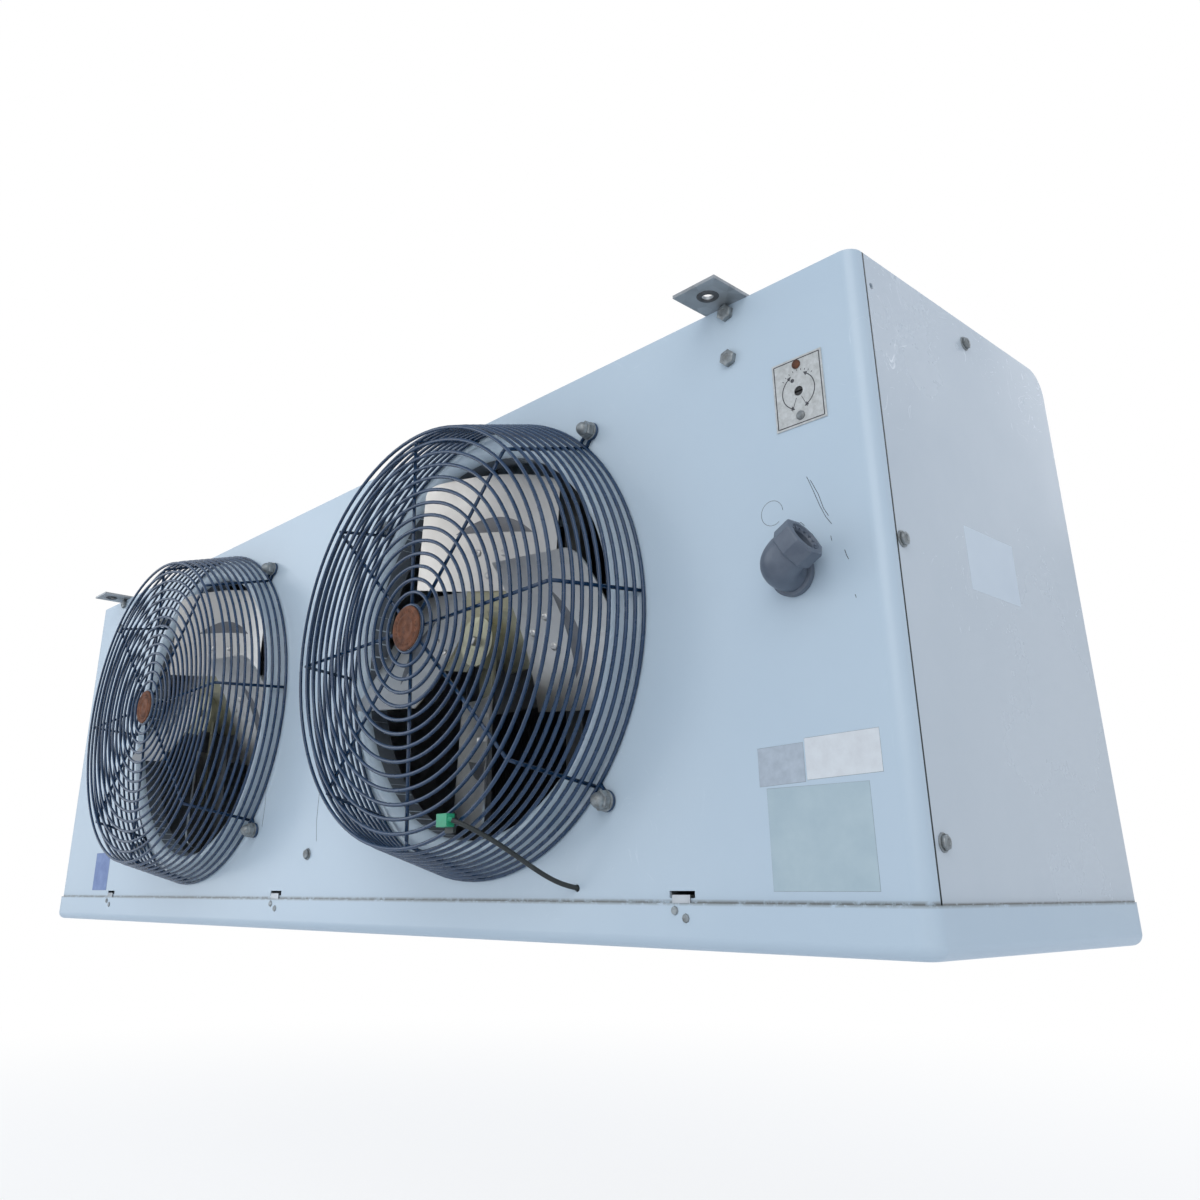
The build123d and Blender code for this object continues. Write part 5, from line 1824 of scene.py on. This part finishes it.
# ---------------------------------------------------------------- sensor lead
@dataclass
class SensorLead:
    """Black lead from its plug on the guard to the hole in the panel."""

    paints: Paintbox
    diameter: float = 3.5 * MM
    length: float = 0.1035
    face: float = -140.0 * MM
    pan_edge: float = -410.5 * MM
    route: tuple[tuple[float, float, float], ...] = (
        (352.0, -81.0, 54.0),
        (360.0, -73.0, 50.0),
        (368.0, -55.0, 40.0),
        (375.0, -38.0, 29.0),
        (382.0, -23.0, 18.5),
        (389.5, -9.5, 11.0),
        (394.0, 1.2, 9.0),
    )

    def build(self) -> None:
        points = [
            Vector((x * MM, self.face + y * MM, self.pan_edge + z * MM)) for x, y, z in self.route
        ]
        curve = bpy.data.curves.new("sensor_lead_sheath", "CURVE")
        curve.dimensions = "3D"
        curve.bevel_depth = self.diameter / 2
        curve.bevel_resolution = 4
        curve.resolution_u = 12
        spline = curve.splines.new("NURBS")
        spline.points.add(len(points) - 1)
        for spot, point in zip(spline.points, points):
            spot.co = (*point, 1.0)
        spline.order_u = 3
        spline.use_endpoint_u = True
        curve.use_fill_caps = True
        curve.materials.append(self.paints[Slot.SHEATH])
        lead = bpy.data.objects.new("sensor_lead_sheath", curve)
        bpy.context.scene.collection.objects.link(lead)
        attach(lead, "cabinet")
        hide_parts("sensor_lead")


# ---------------------------------------------------------------- studio
@dataclass
class Studio:
    """Pale floor and backdrop, soft lights and the camera."""

    floor_drop: float = 0.78
    floor_fade: tuple[float, float] = (0.7, 2.6)
    eye: tuple[float, float, float] = (0.9633, -0.6872, -0.4030)
    heading: float = 47.81
    pitch: float = 20.17
    lens: float = 31.43
    shift: tuple[float, float] = (0.0462, -0.0786)

    def build(self) -> None:
        """Makes the whole studio."""
        self.camera()
        self.floor()
        self.world()
        self.lamps()
        bpy.context.scene.view_settings.view_transform = "Standard"

    def camera(self) -> None:
        """Puts the camera low at the unit's right front corner, looking up."""
        data = bpy.data.cameras.new("Viewer")
        data.sensor_width = 36.0
        data.lens = self.lens
        data.shift_x, data.shift_y = self.shift
        data.clip_start = 0.01
        camera = bpy.data.objects.new("Viewer", data)
        camera.location = self.eye
        camera.rotation_euler = (
            math.radians(90.0 + self.pitch),
            0.0,
            math.radians(self.heading),
        )
        bpy.context.scene.collection.objects.link(camera)
        bpy.context.scene.camera = camera

    def floor(self) -> None:
        """Makes the pale floor, which fades to white far off and is clear from below."""
        bm = bmesh.new()
        bmesh.ops.create_grid(bm, x_segments=1, y_segments=1, size=40.0)
        material = bpy.data.materials.new("Pale floor")
        material.use_nodes = True
        tree = material.node_tree
        shader = tree.nodes["Principled BSDF"]
        shader.inputs["Base Color"].default_value = (0.88, 0.88, 0.88, 1.0)
        shader.inputs["Roughness"].default_value = 0.9
        glow = tree.nodes.new("ShaderNodeEmission")
        glow.inputs["Color"].default_value = (1.0, 1.0, 1.0, 1.0)
        where = tree.nodes.new("ShaderNodeTexCoord")
        away = tree.nodes.new("ShaderNodeVectorMath")
        away.operation = "LENGTH"
        fade = tree.nodes.new("ShaderNodeMapRange")
        fade.interpolation_type = "SMOOTHSTEP"
        fade.inputs["From Min"].default_value = self.floor_fade[0]
        fade.inputs["From Max"].default_value = self.floor_fade[1]
        fade.inputs["To Min"].default_value = 0.75
        fade.inputs["To Max"].default_value = 1.0
        path = tree.nodes.new("ShaderNodeLightPath")
        share = math_node(tree, "MULTIPLY")
        mix = tree.nodes.new("ShaderNodeMixShader")
        side = tree.nodes.new("ShaderNodeNewGeometry")
        clear = tree.nodes.new("ShaderNodeBsdfTransparent")
        faces = tree.nodes.new("ShaderNodeMixShader")
        link = tree.links.new
        link(where.outputs["Object"], away.inputs[0])
        link(away.outputs["Value"], fade.inputs["Value"])
        link(path.outputs["Is Camera Ray"], share.inputs[0])
        link(fade.outputs["Result"], share.inputs[1])
        link(share.outputs["Value"], mix.inputs["Fac"])
        link(shader.outputs["BSDF"], mix.inputs[1])
        link(glow.outputs["Emission"], mix.inputs[2])
        link(side.outputs["Backfacing"], faces.inputs["Fac"])
        link(mix.outputs["Shader"], faces.inputs[1])
        link(clear.outputs["BSDF"], faces.inputs[2])
        link(faces.outputs["Shader"], tree.nodes["Material Output"].inputs["Surface"])
        floor = mesh_object("studio_floor", bm, material)
        floor.location = (0.0, 0.0, -self.floor_drop)

    def world(self) -> None:
        """Lights the unit softly from all round, with a white background in view."""
        world = bpy.data.worlds.new("Studio")
        bpy.context.scene.world = world
        world.use_nodes = True
        tree = world.node_tree
        soft = tree.nodes["Background"]
        soft.inputs["Strength"].default_value = 0.75
        where = tree.nodes.new("ShaderNodeTexCoord")
        split = tree.nodes.new("ShaderNodeSeparateXYZ")
        fade = tree.nodes.new("ShaderNodeMapRange")
        fade.inputs["From Min"].default_value = -0.2
        fade.inputs["From Max"].default_value = 0.9
        sky = tree.nodes.new("ShaderNodeMix")
        sky.data_type = "RGBA"
        sky.inputs["A"].default_value = (0.97, 0.96, 0.94, 1.0)
        sky.inputs["B"].default_value = (0.62, 0.74, 0.92, 1.0)
        seen = tree.nodes.new("ShaderNodeBackground")
        seen.inputs["Color"].default_value = (1.0, 1.0, 1.0, 1.0)
        path = tree.nodes.new("ShaderNodeLightPath")
        mix = tree.nodes.new("ShaderNodeMixShader")
        tree.links.new(where.outputs["Generated"], split.inputs["Vector"])
        tree.links.new(split.outputs["Z"], fade.inputs["Value"])
        tree.links.new(fade.outputs["Result"], sky.inputs["Factor"])
        tree.links.new(sky.outputs["Result"], soft.inputs["Color"])
        tree.links.new(path.outputs["Is Camera Ray"], mix.inputs["Fac"])
        tree.links.new(soft.outputs["Background"], mix.inputs[1])
        tree.links.new(seen.outputs["Background"], mix.inputs[2])
        tree.links.new(mix.outputs["Shader"], tree.nodes["World Output"].inputs["Surface"])

    def lamp(
        self, name: str, place: Vector, aim: Vector, size: float, watts: float, tint: Colour
    ) -> None:
        """Adds a soft square lamp.

        Args:
            name: The lamp's name.
            place: Where it stands.
            aim: What it points at.
            size: Width of the lamp.
            watts: Its power.
            tint: Colour of its light.
        """
        data = bpy.data.lights.new(name, "AREA")
        data.size = size
        data.energy = watts
        data.color = tint
        lamp = bpy.data.objects.new(name, data)
        lamp.location = place
        lamp.rotation_euler = (aim - place).to_track_quat("-Z", "Y").to_euler()
        bpy.context.scene.collection.objects.link(lamp)

    def lamps(self) -> None:
        """Adds the key light from the right front and two fills."""
        aim = Vector((0.0, 0.0, -0.2))
        self.lamp("Key", Vector((2.2, -2.6, 1.5)), aim, 3.0, 44.0, (1.0, 0.99, 0.97))
        self.lamp("Fill", Vector((-2.8, -2.2, 0.4)), aim, 2.2, 26.0, (0.86, 0.93, 1.0))
        self.lamp("Rear", Vector((0.4, 2.8, 1.8)), aim, 2.2, 26.0, (0.95, 0.97, 1.0))


def corners(pair: Iterable[Vector]) -> list[list[float]]:
    """Returns a box's corners as plain lists of numbers."""
    return [[float(v) for v in corner] for corner in pair]


def main() -> None:
    """Builds the scene in order."""
    logging.basicConfig(level=logging.INFO, format="%(name)s: %(message)s")
    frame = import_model()
    pan_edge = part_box("drain_pan")[1].z
    Studio().build()
    LOG.info("studio")
    paints = Paintbox(pan_edge)
    paints.dress(frame)
    LOG.info("finishes on %d nodes", len(frame["nodes"]))
    cabinet = Cabinet(frame)
    SensorLead(paints).build()
    LOG.info("sensor lead")
    for number in (1, 2):
        WireGuard(number, paints, cabinet).build()
        BladeTrim(number, paints, cabinet).build()
        LOG.info("wire guard and blades %d", number)
    GuardHardware(paints, cabinet).build()
    SmoothCollars(paints).build()
    CoilPack(paints).build()
    LOG.info("guard hardware, orifice lips and coil")
    HexHeads("end_screws", paints, cabinet, 8.0 * MM, 5.4 * MM).build()
    HexHeads("divider_screw", paints, cabinet, 8.0 * MM, 5.4 * MM).build()
    HexHeads("hanger_bolts", paints, cabinet, 11.0 * MM).build()
    DialScrews(paints, cabinet).build()
    HangerLips(paints).build(cabinet)
    LOG.info("fasteners")
    MouldedElbow(paints, cabinet).build()
    DialFace(paints, cabinet).build()
    FrontMarks(paints, cabinet).build()
    EndTrim(paints, cabinet).build()
    LOG.info("elbow, dial, marks and trim")


if __name__ == "__main__":
    main()
